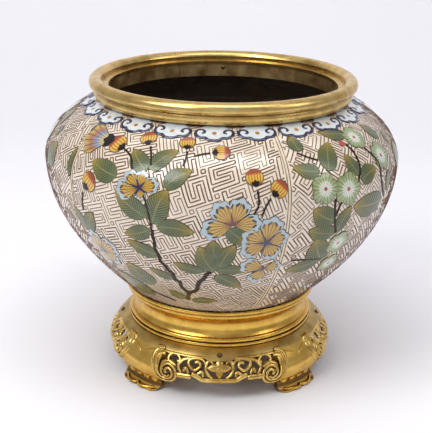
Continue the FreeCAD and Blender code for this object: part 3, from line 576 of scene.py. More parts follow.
def gilt_bronze(name, bright, dull, patina, roughness, ground=None):
    """Cast bronze, fire-gilt and burnished: warm gold that is brown where a cloth doesn't reach.

    Between the two heights given as ground, in millimetres, it is painted flat brown: painted shade of the
    hollow there.
    """
    material, tree = new_material(name)
    tone = add(tree, RAMP, {"Fac": noise(tree, size=11.0, detail=5.0)}, stops=[(0.32, dull), (0.62, bright)])
    open_air = add(tree, "ShaderNodeAmbientOcclusion", {"Distance": RECESS * MM}, "AO", samples=8)
    reach = {"Value": open_air, "From Min": RECESS_SHUT, "From Max": RECESS_OPEN}
    shelter = add(tree, "ShaderNodeMapRange", reach)
    layers = {"Factor": shelter, MIX_UNDER: patina, MIX_OVER: tone}
    colour = add(tree, MIX, layers, MIX_COLOUR, data_type="RGBA")
    # Painted shade: a flat brown band between two heights, standing for the dark hollow above each toe
    if ground:
        place = add(tree, "ShaderNodeTexCoord", output="Object")
        height = add(tree, "ShaderNodeSeparateXYZ", {"Vector": place}, "Z")
        low, high = ground
        above = add(tree, MATH, {0: height, 1: low * MM}, operation="GREATER_THAN")
        below = add(tree, MATH, {0: height, 1: high * MM}, operation="LESS_THAN")
        painted_shade = add(tree, MATH, {0: above, 1: below}, operation="MULTIPLY")
        layers = {"Factor": painted_shade, MIX_UNDER: colour, MIX_OVER: HOLLOW_PAINTED_SHADE}
        colour = add(tree, MIX, layers, MIX_COLOUR, data_type="RGBA")
    smooth, rough = roughness - WORN_SMOOTH, roughness + WORN_ROUGH
    wear = {"Value": noise(tree, size=12.0), "To Min": smooth, "To Max": rough}
    worn = add(tree, "ShaderNodeMapRange", wear)
    grain = {"Height": noise(tree, size=5.0, detail=2.0), "Strength": 0.08, "Distance": 0.3 * MM}
    grained = add(tree, "ShaderNodeBump", grain)
    set_shader(tree, Base_Color=colour, Metallic=1.0, Roughness=worn, Normal=grained)
    return material


def plain_metal(name, bright, dull, roughness, size=8.0):
    """Working metal that is hidden or left as made, with a slight stain."""
    material, tree = new_material(name)
    tone = add(tree, RAMP, {"Fac": noise(tree, size)}, stops=[(0.3, dull), (0.7, bright)])
    set_shader(tree, Base_Color=tone, Metallic=1.0, Roughness=roughness)
    return material


def tanned_leather():
    # Vegetable-tanned leather, cut and left undyed: matt brown with a soft grain
    material, tree = new_material("tanned_leather")
    grain = add(tree, RAMP, {"Fac": noise(tree, size=3.0)}, stops=[(0.3, "#452A18"), (0.7, "#5E3C24")])
    set_shader(tree, Base_Color=grain, Roughness=0.65, Specular_IOR_Level=0.3)
    return material


WIRES = wire_tree()
GROUND = white_enamel()
# Counter-enamel fired on the inside: a dark brown hollow
DARK_LINING = enamel("dark_counter_enamel", "#625347", "#544639", size=14.0)
# Copper strip gone brown: thin warm lines on the white
FRET_WIRE = cloison_wire("brown_fret_wire", "#7E5C46", "#60442F", metallic=0.2, roughness=0.5)
# Gilt strip: paler than the fret, with a little shine
CREASE_WIRE = cloison_wire("gilt_crease_wire", "#A88A58", "#7C6240", metallic=0.6, roughness=0.4)
# Gilt strip dulled beside dark glass: a fine dark rim round each cell
CELL_WIRE = cloison_wire("dull_gilt_cell_wire", "#7A6838", "#3E3A28", metallic=0.5, roughness=0.45)
LEAF = leaf_enamel()
# Two kinds of yellow petals: red at the heart with black dots, and blue with brown ones
PETAL_RED_HEART = petal_enamel("yellow_petal_red_heart", "#8A3A22", "#26222A")
PETAL_BLUE_HEART = petal_enamel("yellow_petal_blue_heart", "#35325E", "#6A4226")
# Closed bud: ribbed yellow with a brick red cap
BUD_SHADES = [(0.0, "#6E4A1E"), (0.25, "#D9A93C"), (0.6, "#E2B24A"), (0.72, "#B4502C"), (1.0, "#8E3A22")]
BUD = ribbed_enamel("red_tipped_bud_enamel", BUD_SHADES, "#7A4A20", beats=12.0)
# Half-open bud: straw, blue and rust in turn towards a yellow edge
FAN_SHADES = [(0.0, "#4E5A3C"), (0.3, "#D9C27A"), (0.5, "#7F97B4"), (0.72, "#A8643C"), (1.0, "#C9A94C")]
FAN_BUD_ENAMEL = ribbed_enamel("red_and_blue_fan_enamel", FAN_SHADES, "#6A5230", beats=14.0)
# Round flower: a red eye in a white ring that turns soft green outwards
ROSETTE_EYE = [(0.0, "#A23A26"), (0.11, "#B0482E"), (0.15, "#EEF0E6")]
ROSETTE_SHADES = ROSETTE_EYE + [(0.45, "#DDE2CE"), (0.58, "#A9B586"), (1.0, "#8A9A66")]
ROSETTE = ribbed_enamel("pale_green_rosette_enamel", ROSETTE_SHADES, "#6F7C50", beats=36.0)
# Branch and calyxes: nearly black, with little gloss so that they stay dark
BARK = enamel("dark_branch_enamel", "#3E2C22", "#221814", size=4.0, gloss=0.1)
CALYX = enamel("black_calyx_enamel", "#2B2624", "#17151A", size=2.0, gloss=0.2)
# Flat glossy colours of streaks, berries and the border of lappets
DEEP_RED = enamel("deep_red_enamel", "#7E2E24", "#5A1E1C", size=2.0)
BERRY = enamel("red_berry_enamel", "#C4523F", "#A83D30", size=2.0)
LAPPET_FILL = enamel("pale_blue_lappet_enamel", "#E8EDEE", "#D3DEE3", size=5.0)
COBALT = enamel("cobalt_line_enamel", "#222B57", "#181D40", size=3.0)
TAN = enamel("tan_dot_enamel", "#B88A5E", "#A3764C", size=2.0)
# Gilt bronze: warm and bright on the socle, paler on the worn rim, plain on the legs with a brown band of
# painted shade in the hollow over the toes, dark in the depths of the chased aprons, and dull on the deck
GILT = gilt_bronze("burnished_gilt_bronze", "#E4BA5A", "#CA9C46", "#4E3514", roughness=0.26)
GILT_RIM = gilt_bronze("worn_gilt_rim", "#E0C07A", "#C09E5A", "#66502A", roughness=0.28)
# Between 3.1 and 11.3 mm up, the legs carry painted shade: the hollow over the toes is painted brown
LEG_GILT = gilt_bronze("leg_gilt_bronze", "#E8C064", "#D0A44E", "#4E3514", roughness=0.3, ground=(3.1, 11.3))
CHASED_GILT = gilt_bronze("chased_gilt_bronze", "#E8C674", "#C0964A", "#38260E", roughness=0.26)
SATIN_GILT = gilt_bronze("satin_gilt_bronze", "#C4A662", "#9E8246", "#4E3C1A", roughness=0.4)
# Brass: brown and dull on pins and screws, blotched with stains on the strip in the mouth
AGED_BRASS = plain_metal("aged_brass_strip", "#8F7442", "#5E4A28", roughness=0.42)
COLLAR_BRASS = plain_metal("stained_brass_strip", "#DCC08A", "#86663C", roughness=0.48, size=13.0)
# Hidden steel and copper: grey and dull, and red-brown with a soft shine
STEEL = plain_metal("darkened_steel", "#6E6C69", "#4A4845", roughness=0.45)
COPPER = plain_metal("raised_copper", "#B87A52", "#8E5638", roughness=0.4)
LEATHER = tanned_leather()

APRONS = {"apron_front": 0.0, "apron_right": 90.0, "apron_rear": 180.0, "apron_left": -90.0}
LEGS = {"leg_front_right": 45.0, "leg_rear_right": 135.0, "leg_rear_left": -135.0, "leg_front_left": -45.0}
NODE_FINISHES = [
    (COPPER, ["copper_body"]),
    (DARK_LINING, ["counter_enamel"]),
    (GILT_RIM, ["rim_moulding"]),
    (COLLAR_BRASS, ["inner_collar"]),
    (AGED_BRASS, ["collar_pins", "apron_screws", "rod_washer"]),
    (GILT, ["socle"]),
    (SATIN_GILT, ["stand_deck"]),
    (LEG_GILT, LEGS),
    (STEEL, ["leg_screws", "tie_rod", "clamp_bar", "nut_washer", "tie_nut"]),
    (LEATHER, ["leather_gasket"]),
]


def finish_nodes():
    """Finishes of the solids. Those that pieces of the scene stand for are hidden, and plain gilt."""
    finishes = {name: finish for finish, names in NODE_FINISHES for name in names}
    for name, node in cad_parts.items():
        node.data.materials.clear()
        node.data.materials.append(finishes.get(name, GILT))


# Enamel ground

GROUND_COLUMNS = 240
GROUND_ROWS = 72


def make_ground():
    """Closed coat of white enamel: an outer and an inner sheet that meet at the neck and the foot."""
    heights = height_at(np.linspace(0, RAIL_TOP, GROUND_ROWS))
    azimuths = np.arange(GROUND_COLUMNS) * 360.0 / GROUND_COLUMNS
    turn, level = np.meshgrid(azimuths, heights)
    sheets = np.concatenate([on_vessel(turn, level), on_vessel(turn, level, -ENAMEL_WALL)[::-1]])
    rows = len(sheets)
    faces = []
    for row in range(rows):
        after = (row + 1) % rows
        for column in range(GROUND_COLUMNS):
            beside = (column + 1) % GROUND_COLUMNS
            corners = ((row, column), (row, beside), (after, beside), (after, column))
            faces.append([at_row * GROUND_COLUMNS + at_column for at_row, at_column in corners])
    mesh = new_mesh("enamel_ground", sheets.reshape(-1, 3).tolist(), faces, GROUND)
    finished(new_object("enamel_ground", mesh), "white_enamel", "enamel_coat")


# Fret ground: closed hooks of wire, in pairs that interlock, on squares that turn about. Small squares fill
# the gaps of the tiling, so no straight lane runs through it

HOOK_PITCH = 5.1
HOOK_SQUARE = 4
BAND_HALF = 0.28
FRET_STEP = 2.7
# Share of a step that a line may be over a whole number of them
STEP_SLACK = 1e-6
# Real wire is about 0.4 mm thick. It is drawn as coarse as it needs to show, and only its crown is seen
FRET_WIRE_RADIUS = 0.68
FRET_LIFT = -0.36
FRET_MARGIN = 1.8
FRET_END = 0.5
# Half size of the flat field that a panel is cut from, by the outline's length. By that half size: how far
# tiles are laid out, and how far a line may reach
FRET_FIELD = 0.75
FIELD_TILES = 1.3
FIELD_LIMIT = 1.5
# Panels follow the creases from the one at the right of the front; each panel's fret has its own slant
FRET_SLANTS = (44.0, 20.0, -32.0, 42.0, 21.0)
# Middle line of one hook on a square of 4 x 4 cells
HOOK_PATH = [(0, 0), (3, 0), (3, 2), (1, 2)]


def hook_outline():
    """Closed outline, in cells, of a band to both sides of the hook's middle line."""
    path = np.array(HOOK_PATH, float)
    ways = np.sign(np.diff(path, axis=0))
    left = left_of(ways) * BAND_HALF
    sides = []
    for sign in (1, -1):
        side = [path[0] - ways[0] * BAND_HALF + sign * left[0]]
        for corner in range(1, len(path) - 1):
            side.append(path[corner] + sign * (left[corner - 1] + left[corner]))
        side.append(path[-1] + ways[-1] * BAND_HALF + sign * left[-1])
        sides.append(side)
    return np.array(sides[0] + sides[1][::-1] + sides[0][:1])


def comb_outline():
    """Closed outline, in cells, of a bar with two teeth."""
    near, far = BAND_HALF, 3 + BAND_HALF
    tooth = 2 + BAND_HALF
    corners = [(-near, -near), (far, -near), (far, tooth), (3 - near, tooth), (3 - near, near)]
    corners += [(1 + near, near), (1 + near, tooth), (1 - near, tooth), (1 - near, near), (-near, near)]
    return np.array(corners + corners[:1])


def fret_lines(reach):
    """Outlines of the hooks, combs and small squares on a flat square field of the given half size."""
    middle = (HOOK_SQUARE - 1) / 2
    count = int(FIELD_TILES * reach / (HOOK_PITCH * HOOK_SQUARE)) + 1
    small = np.array([(-1, -1), (1, -1), (1, 1), (-1, 1), (-1, -1)]) * BAND_HALF
    lines = []
    for row in range(-count, count + 1):
        for column in range(-count, count + 1):
            centre = column * np.array([HOOK_SQUARE, 1]) + row * np.array([-1, HOOK_SQUARE])
            lines.append((small + centre + (middle, middle + 1)) * HOOK_PITCH)
            outline = comb_outline() if (row + 2 * column) % 3 == 0 else hook_outline()
            for sign in (1, -1):
                local = sign * (outline - middle)
                if (row + column) % 2:
                    local = left_of(local)
                lines.append((local + centre) * HOOK_PITCH)
    return [line for line in lines if np.abs(line).max() < FIELD_LIMIT * reach]


def cut_fine(line, step):
    """The same line with points no more than a step apart."""
    pieces = [line[:1]]
    for start, end in zip(line[:-1], line[1:]):
        count = max(1, int(math.ceil(np.hypot(*(end - start)) / step - STEP_SLACK)))
        shares = np.linspace(0, 1, count + 1)[1:, None]
        pieces.append(start + (end - start) * shares)
    return np.concatenate(pieces)


def runs(points, inside):
    """Stretches of a line whose points are inside."""
    found, start = [], None
    for index, good in enumerate(inside):
        if good and start is None:
            start = index
        if start is not None and (not good or index == len(inside) - 1):
            end = index + 1 if good else index
            if end - start > 1:
                found.append(points[start:end])
            start = None
    return found


def make_fret(panel):
    """Wires of one panel's fret, cut off at its creases, at the neck and at the foot."""
    centre = CREASE_AZIMUTH + (panel + 0.5) * LOBE_PITCH
    slant = math.radians(FRET_SLANTS[panel])
    cos, sin = math.cos(slant), math.sin(slant)
    lines = []
    for line in fret_lines(FRET_FIELD * RAIL_TOP):
        fine = cut_fine(line, FRET_STEP)
        across = fine[:, 0] * cos - fine[:, 1] * sin
        length = fine[:, 0] * sin + fine[:, 1] * cos + RAIL_TOP / 2
        heights = height_at(length)
        radius = outline_radius(heights)
        room = radius * math.radians(LOBE_PITCH / 2) - FRET_MARGIN
        inside = (np.abs(across) < room) & (length > FRET_END) & (length < RAIL_TOP - FRET_END)
        points = on_vessel(centre + np.degrees(across / radius), heights, FRET_LIFT)
        lines.extend(runs(points, inside))
    wire_piece("fret_wires_%d" % (panel + 1), lines, FRET_WIRE_RADIUS, FRET_WIRE)


# Creases between the lobes: two gilt lines side by side

CREASE_GAP = 2.2
CREASE_WIRE_RADIUS = 0.42
CREASE_LIFT = -0.1
CREASE_END = 1.0
CREASE_POINTS = 70


def make_creases():
    heights = height_at(np.linspace(CREASE_END, RAIL_TOP - CREASE_END, CREASE_POINTS))
    lines = []
    for lobe in range(LOBE_COUNT):
        for side in (-0.5, 0.5):
            shift = np.degrees(side * CREASE_GAP / outline_radius(heights))
            lines.append(on_vessel(CREASE_AZIMUTH + lobe * LOBE_PITCH + shift, heights, CREASE_LIFT))
    wire_piece("crease_wires", lines, CREASE_WIRE_RADIUS, CREASE_WIRE, sides=6)


# Sprays, by pixels of the photograph. Copies go round the pot, some lobes to the right

FRONT_SHIFTS = (0.0, 2 * LOBE_PITCH)
RIGHT_SHIFTS = (0.0, 2 * LOBE_PITCH, 3 * LOBE_PITCH)
# The wire round each leaf, petal and bud, coarser than a real one of about 0.4 mm so that it shows
CELL_WIRE_RADIUS = 0.5
CELL_WIRE_LIFT = -0.02

# Leaves: the pixels of the base and the tip, and how full the leaf is
FRONT_LEAVES = [
    ((116, 176), (93, 160), 0.40), ((146, 171), (135, 149), 0.44), ((149, 169), (177, 150), 0.36),
    ((164, 187), (191, 170), 0.40), ((146, 217), (115, 191), 0.37), ((152, 224), (167, 190), 0.40),
    ((157, 227), (194, 233), 0.33), ((149, 230), (125, 234), 0.36), ((159, 256), (127, 240), 0.32),
    ((204, 272), (173, 263), 0.28), ((214, 272), (199, 247), 0.34), ((216, 259), (213, 241), 0.46),
    ((219, 268), (236, 245), 0.34), ((228, 230), (246, 246), 0.44), ((217, 271), (249, 271), 0.28),
    ((215, 276), (239, 288), 0.34), ((175, 279), (149, 268), 0.30), ((155, 295), (116, 269), 0.46),
    ((154, 285), (127, 262), 0.46), ((187, 299), (168, 290), 0.40), ((192, 301), (217, 301), 0.32),
    ((90, 230), (74, 207), 0.36), ((90, 230), (92, 213), 0.40), ((92, 131), (105, 124), 0.50),
    ((49, 164), (57.5, 142), 0.72), ((69, 176), (78, 146), 0.16),
]
RIGHT_LEAVES = [
    ((300, 151), (290, 136), 0.46), ((320, 171), (294, 168), 0.38), ((329, 171), (327, 142), 0.40),
    ((344, 133), (319, 132), 0.38), ((359, 175), (345, 154), 0.40), ((362, 180), (376, 168), 0.46),
    ((335, 221), (314, 210), 0.46), ((336, 232), (352, 206), 0.38), ((334, 233), (309, 231), 0.40),
    ((321, 260), (316, 240), 0.48), ((320, 259), (286, 271), 0.32), ((379, 137), (360, 124), 0.40),
    ((388, 170), (387, 190), 0.38), ((381, 199), (354, 206), 0.34), ((381, 131), (388.8, 142.5), 0.40),
]
LEAF_LIFT = 0.36
LEAF_SWAY = 0.05
# How the half width swells from the base and narrows to the tip
LEAF_SWELL = 2.05
LEAF_BASE_POWER, LEAF_TIP_POWER = 0.6, 0.85
LEAF_ROWS, LEAF_COLUMNS = 12, 7


def leaf_half_width(along):
    """Half width of a pointed leaf along its length, with about 0.77 at the widest place."""
    return LEAF_SWELL * along**LEAF_BASE_POWER * (1 - along) ** LEAF_TIP_POWER


def leaf_grid(base, tip, fullness, shift):
    place, length = aimed(base, tip, shift)
    share, side, coordinates = patch_shares(LEAF_ROWS, LEAF_COLUMNS)
    sway = LEAF_SWAY * length * np.sin(math.pi * share)
    flat = np.stack([share * length, side * leaf_half_width(share) * fullness * length + sway], -1)
    edge = np.concatenate([flat[:, 0], flat[::-1, -1]])
    return (drape(place, flat, LEAF_LIFT), coordinates), drape(place, edge, CELL_WIRE_LIFT)


def make_leaves():
    sprays = ((FRONT_LEAVES, FRONT_SHIFTS), (RIGHT_LEAVES, RIGHT_SHIFTS))
    cells = [leaf_grid(*leaf, shift) for leaves, shifts in sprays for shift in shifts for leaf in leaves]
    grids, edges = zip(*cells)
    grid_piece("leaves", grids, LEAF, "white_enamel")
    wire_piece("leaf_cell_wires", edges, CELL_WIRE_RADIUS, CELL_WIRE)


# Flowers: the pixel of the heart, that of each petal's tip, and half a petal's angle in radians

RED_HEART_FLOWERS = [
    ((233, 225.5), [(200, 233), (214, 203), (244, 197.5), (263, 223)], 0.56),
]
BLUE_HEART_FLOWERS = [
    ((266.5, 243), [(242, 234), (276, 216), (290, 235), (274, 259), (240, 254)], 0.63),
    ((263.5, 268.5), [(240, 264), (252, 282.5), (282, 265)], 0.62),
    ((103, 249.5), [(90, 229), (115, 246), (121, 264), (108, 261.5), (88.5, 239.5)], 0.62),
    ((139, 188), [(115, 190), (125, 172), (144, 170), (159, 184), (142, 201)], 0.6),
]
PETAL_LIFT = 0.4
PETAL_ROWS, PETAL_COLUMNS = 12, 13
# Length of a petal without its scallops, what it loses at its sides, and the depth of the scallops, by the
# distance to its tip
PETAL_LENGTH = 0.95
PETAL_ROUNDING = 0.26
PETAL_SCALLOP = 0.05
PETAL_SCALLOP_COUNT = 3
STREAK_REACH = 0.5
STREAK_HALF_WIDTH = 1.0
STREAK_WIDEST = 2.0
STREAK_LIFT = 0.43
STREAK_ROWS, STREAK_COLUMNS = 6, 3


def petal_grid(heart, tip, spread, shift):
    """Fan-shaped petal with a scalloped end."""
    place, length = aimed(heart, tip, shift)
    share, side, coordinates = patch_shares(PETAL_ROWS, PETAL_COLUMNS)
    scallops = PETAL_SCALLOP * np.cos(PETAL_SCALLOP_COUNT * math.pi * side)
    end = length * (PETAL_LENGTH - PETAL_ROUNDING * side**2 + scallops)
    flat = polar(share * end, side * spread)
    edge = np.concatenate([flat[:, 0], flat[-1, 1:-1], flat[::-1, -1]])
    return (drape(place, flat, PETAL_LIFT), coordinates), drape(place, edge, CELL_WIRE_LIFT)


def streak_grids(heart, tips, shift):
    """Narrow dark streaks from the heart of a flower out between neighbouring petals."""
    ways = sorted(aimed(heart, tip, shift) for tip in tips)
    share, side, coordinates = patch_shares(STREAK_ROWS, STREAK_COLUMNS)
    found = []
    for (near, length), (far, other) in zip(ways, ways[1:] + ways[:1]):
        opening = (far[2] - near[2]) % FULL_TURN
        if opening > STREAK_WIDEST:
            continue
        place = (near[0], near[1], near[2] + opening / 2)
        reach = STREAK_REACH * (length + other) / 2
        flat = np.stack([share * reach, side * STREAK_HALF_WIDTH * np.sqrt(1 - share)], -1)
        found.append((drape(place, flat, STREAK_LIFT), coordinates))
    return found


def make_flowers():
    edges = []
    for name, flowers, finish, streak in (
        ("red_heart", RED_HEART_FLOWERS, PETAL_RED_HEART, DEEP_RED),
        ("blue_heart", BLUE_HEART_FLOWERS, PETAL_BLUE_HEART, COBALT),
    ):
        grids, streaks = [], []
        for shift in FRONT_SHIFTS:
            for heart, tips, spread in flowers:
                streaks.extend(streak_grids(heart, tips, shift))
                for tip in tips:
                    grid, edge = petal_grid(heart, tip, spread, shift)
                    grids.append(grid)
                    edges.append(edge)
        grid_piece(name + "_petals", grids, finish, "white_enamel")
        grid_piece(name + "_streaks", streaks, streak, "dark_enamel")
    wire_piece("petal_cell_wires", edges, CELL_WIRE_RADIUS, CELL_WIRE)


# Round pale flowers of the right panel: centre pixel and radius in millimetres

ROSETTES = [
    ((326, 189), 11.5), ((349, 189), 12.5), ((354, 137), 10.5), ((381, 155), 11.5),
    ((338, 243), 10.5), ((328, 263), 9.5),
]
ROSETTE_LIFT = 0.39
ROSETTE_PETALS = 5
ROSETTE_NOTCH = 0.2
ROSETTE_ROUNDNESS = 0.6
ROSETTE_ROWS, ROSETTE_COLUMNS = 8, 61


def make_rosettes():
    share, swing, coordinates = round_shares(ROSETTE_ROWS, ROSETTE_COLUMNS)
    lobe = np.abs(np.cos(ROSETTE_PETALS * swing / 2)) ** ROSETTE_ROUNDNESS
    grids, edges = [], []
    for shift in RIGHT_SHIFTS:
        for centre, radius in ROSETTES:
            azimuth, height = picked(centre)
            place = (azimuth + shift, height, 0.0)
            reach = radius * (1 - ROSETTE_NOTCH * (1 - lobe) * share)
            flat = polar(share * reach, swing)
            grids.append((drape(place, flat, ROSETTE_LIFT), coordinates))
            edges.append(drape(place, flat[-1], CELL_WIRE_LIFT))
    grid_piece("pale_rosettes", grids, ROSETTE, "white_enamel")
    wire_piece("rosette_cell_wires", edges, CELL_WIRE_RADIUS, CELL_WIRE)


# Buds: from the calyx pixel to the tip pixel

BUDS = [
    ((122.5, 147.5), (113, 139)), ((148, 143), (149.5, 132)), ((187, 147.5), (188, 137)),
    ((214, 152.5), (230, 152)), ((256, 185), (253, 169)), ((274.5, 195), (285, 182)),
    ((85, 187.5), (93, 175)),
]
BUD_LIFT = 0.39
BUD_HALF_WIDTH = 0.54
# Stretch of half a round that shapes a bud's sides: the blunt start, and how far it runs
BUD_START, BUD_RUN = 0.08, 0.9
BUD_ROWS, BUD_COLUMNS = 9, 9
# Large half-open bud whose petals run from straw over blue and rust to yellow
FAN_BUD = ((111, 140), (85, 136))
FAN_BUD_HALF_ANGLE = 0.72
FAN_BUD_CALYX = 0.85
# Sepals of a calyx: their angles, and their sizes by the length of the bud
SEPAL_SWINGS = (-0.9, 0.0, 0.9)
SEPAL_REACH = 0.42
SEPAL_BEHIND = 0.12
SEPAL_HALF_WIDTH = 0.13
# Shares of the length whose width the blunt ends of a sepal keep
SEPAL_ENDS = (0.02, 0.98)
SEPAL_LIFT = 0.43
SEPAL_ROWS, SEPAL_COLUMNS = 5, 5


def calyx_grids(place, length):
    """Three small dark sepals at the foot of a bud."""
    share, side, coordinates = patch_shares(SEPAL_ROWS, SEPAL_COLUMNS)
    along = share * (SEPAL_REACH * length) - SEPAL_BEHIND * length
    profile = np.sqrt(np.sin(math.pi * np.clip(share, *SEPAL_ENDS)))
    over = side * SEPAL_HALF_WIDTH * length * profile
    found = []
    for swing in SEPAL_SWINGS:
        cos, sin = math.cos(swing), math.sin(swing)
        flat = np.stack([along * cos - over * sin, along * sin + over * cos], -1)
        found.append((drape(place, flat, SEPAL_LIFT), coordinates))
    return found


def make_buds():
    share, side, coordinates = patch_shares(BUD_ROWS, BUD_COLUMNS)
    profile = np.sqrt(np.sin(math.pi * (BUD_START + BUD_RUN * share)))
    grids, fans, calyxes, edges = [], [], [], []
    for shift in FRONT_SHIFTS:
        for foot, tip in BUDS:
            place, length = aimed(foot, tip, shift)
            flat = np.stack([share * length, side * BUD_HALF_WIDTH * length * profile], -1)
            grids.append((drape(place, flat, BUD_LIFT), coordinates))
            edges.append(drape(place, np.concatenate([flat[:, 0], flat[::-1, -1]]), CELL_WIRE_LIFT))
            calyxes.extend(calyx_grids(place, length))
        grid, edge = petal_grid(*FAN_BUD, FAN_BUD_HALF_ANGLE, shift)
        fans.append(grid)
        edges.append(edge)
        place, length = aimed(*FAN_BUD, shift)
        calyxes.extend(calyx_grids(place, FAN_BUD_CALYX * length))
    grid_piece("fan_buds", fans, FAN_BUD_ENAMEL, "white_enamel")
    grid_piece("buds", grids, BUD, "white_enamel")
    grid_piece("calyxes", calyxes, CALYX, "dark_enamel")
    wire_piece("bud_cell_wires", edges, CELL_WIRE_RADIUS, CELL_WIRE)


# Stems and the branch: pixels along each, and half a width in millimetres

FRONT_STEMS = [
    ([(125, 149), (131, 157), (132, 169)], 0.70),
    ([(150.5, 146), (151, 153), (151, 165)], 0.70),
    ([(187.5, 151), (186, 158), (183, 166)], 0.70),
    ([(210, 153), (203, 154), (194, 156)], 0.70),
    ([(258, 191), (259, 205), (254, 215)], 0.70),
    ([(271, 199), (266, 207), (262, 217)], 0.70),
    ([(82.5, 192), (82, 201), (83, 210)], 0.70),
    ([(151, 230), (150, 222), (146, 205), (143, 195)], 0.70),
    ([(152, 291), (164, 296), (176, 301)], 0.70),
]
BRANCH = [
    ([(152, 230), (152.4, 236), (154.4, 243), (154.8, 249), (158.8, 256), (160, 261), (164.8, 266)], 1.20),
    ([(164.8, 266), (168, 270.6), (172.8, 274), (174.6, 279), (180, 283), (182, 288), (189, 293)], 1.40),
    (
        [(189, 293), (194.4, 291.8), (197.4, 288.8), (198.6, 283), (203.6, 279.4)]
        + [(206.4, 275), (211, 272.6)],
        1.60,
    ),
    ([(189, 293), (188, 300)], 1.60),
]
RIGHT_STEMS = [
    ([(346, 144), (354, 152), (360, 166), (359, 182)], 0.85),
    ([(364, 147), (374, 156), (380, 166), (382, 180), (384, 196)], 0.85),
    ([(298, 153), (308, 157), (318, 160)], 0.60),
    ([(336, 199), (335, 216), (336, 233)], 0.85),
    ([(342, 202), (336, 216)], 0.85),
    ([(319, 131), (332, 129), (344, 133)], 0.60),
    ([(291, 261), (305, 260), (321, 259)], 0.60),
]
STEM_LIFT = 0.43
STEM_COLUMNS = 3
# How much wider a stem is at its knots, and how closely they follow one another
STEM_KNOTS = 0.16
STEM_KNOT_BEAT = 1.7


def strip_grid(pixels, half_width, shift):
    """Strip along a pixel path, a little wider at its knots."""
    path = np.array([picked(pixel) for pixel in smooth_path(pixels)])
    lengths, radii = length_at(path[:, 1]), outline_radius(path[:, 1])
    ways = unit(np.stack([np.radians(np.gradient(path[:, 0])) * radii, np.gradient(lengths)], -1))
    knots = 1 + STEM_KNOTS * np.sin(STEM_KNOT_BEAT * np.arange(len(path)))
    across, coordinates = patch_shares(len(path), STEM_COLUMNS)[1:]
    side = half_width * knots[:, None] * across
    azimuths = path[:, :1] + shift - np.degrees(ways[:, 1:] * side / radii[:, None])
    heights = height_at(lengths[:, None] + ways[:, :1] * side)
    return on_vessel(azimuths, heights, STEM_LIFT), coordinates


def make_stems():
    strips = []
    for stems, shifts in ((FRONT_STEMS, FRONT_SHIFTS), (BRANCH, FRONT_SHIFTS), (RIGHT_STEMS, RIGHT_SHIFTS)):
        for shift in shifts:
            strips.extend(strip_grid(pixels, half_width, shift) for pixels, half_width in stems)
    grid_piece("stems", strips, BARK, "dark_enamel")


# Berries and other dots

BERRY_PIXEL = (342, 143)
BERRY_RADIUS = 2.6
BERRY_LIFT = 0.4
DISC_ROWS, DISC_COLUMNS = 4, 21


def disc_grid(place, radius, lift, centre=(0.0, 0.0)):
    share, swing, coordinates = round_shares(DISC_ROWS, DISC_COLUMNS)
    return drape(place, polar(radius * share, swing) + centre, lift), coordinates


def make_berries():
    azimuth, height = picked(BERRY_PIXEL)
    places = [(azimuth + shift, height, 0.0) for shift in RIGHT_SHIFTS]
    grids = [disc_grid(place, BERRY_RADIUS, BERRY_LIFT) for place in places]
    grid_piece("red_berries", grids, BERRY, "white_enamel")


# Lappets under the rim: cloud heads with a cobalt line, two curls and a tan dot

LAPPET_COUNT = 22
LAPPET_AZIMUTH = -3.4
LAPPET_LIFT = 0.34
LAPPET_ROWS = 6
LAPPET_LINE_RADIUS = 1.8
LAPPET_LINE_LIFT = -0.9
# Right half of the outline, from the middle of the lower edge up to the curl: across and below the neck
LAPPET_EDGE = [
    (0.0, -15.6), (3.8, -15.0), (6.2, -13.0), (9.6, -13.0), (12.4, -11.0), (13.2, -8.0),
    (12.0, -5.4), (9.4, -4.6), (7.2, -5.8), (7.0, -8.0), (8.8, -8.8),
]
LAPPET_SHOULDER = -4.8
LAPPET_NECK = 6.5
LAPPET_DOT = (0.0, -8.4)
LAPPET_DOT_RADIUS = 1.7
LAPPET_DOT_LIFT = 0.39


def make_lappets():
    edge = smooth_path(LAPPET_EDGE, per_corner=4)
    whole = np.concatenate([edge[::-1] * (-1, 1), edge[1:]])
    shoulder = np.argmax(edge[:, 1] > LAPPET_SHOULDER)
    lower = np.concatenate([edge[shoulder::-1] * (-1, 1), edge[1 : shoulder + 1]])
    top = np.stack([np.clip(lower[:, 0], -LAPPET_NECK, LAPPET_NECK), np.zeros(len(lower))], -1)
    share = np.linspace(0, 1, LAPPET_ROWS)[:, None, None]
    flat = top[None] + (lower - top)[None] * share
    coordinates = np.broadcast_to(share, flat.shape)
    fills, lines, dots = [], [], []
    for index in range(LAPPET_COUNT):
        place = (LAPPET_AZIMUTH + index * 360.0 / LAPPET_COUNT, NECK_HEIGHT, 0.0)
        fills.append((drape(place, flat, LAPPET_LIFT), coordinates))
        lines.append(drape(place, whole, LAPPET_LINE_LIFT))
        dots.append(disc_grid(place, LAPPET_DOT_RADIUS, LAPPET_DOT_LIFT, LAPPET_DOT))
    grid_piece("lappet_fills", fills, LAPPET_FILL, "white_enamel")
    wire_piece("lappet_lines", lines, LAPPET_LINE_RADIUS, COBALT, "white_enamel", sides=6)
    grid_piece("lappet_dots", dots, TAN, "white_enamel")


# Stand: pierced aprons of rounded scrolls, and the ogee lines, scalloped skirts and toe lips of the legs

# Outside of the stand as in the solids: start, end and bulge of two arcs, by radius and height
STAND_ARCS = [((91.9, 11.5), (92.3, 24.5), 2.2), ((92.3, 24.5), (84.4, 35.0), 0.8)]
STAND_ARC_POINTS = 30
# Points round the front of a band, and the share of its depth that may be rounded
BAND_POINTS = 7
BAND_ROUNDING = 0.6


def stand_outline():
    """Radius and height of points up the stand's outside."""
    share = np.linspace(0, 1, STAND_ARC_POINTS)[:, None]
    parts = []
    for start, end, bulge in STAND_ARCS:
        along = np.subtract(end, start)
        outward = np.array([along[1], -along[0]]) / np.hypot(*along)
        parts.append(start + share * along + outward * bulge * 4 * share * (1 - share))
    return np.concatenate(parts).T


STAND_RADII, STAND_HEIGHTS = stand_outline()


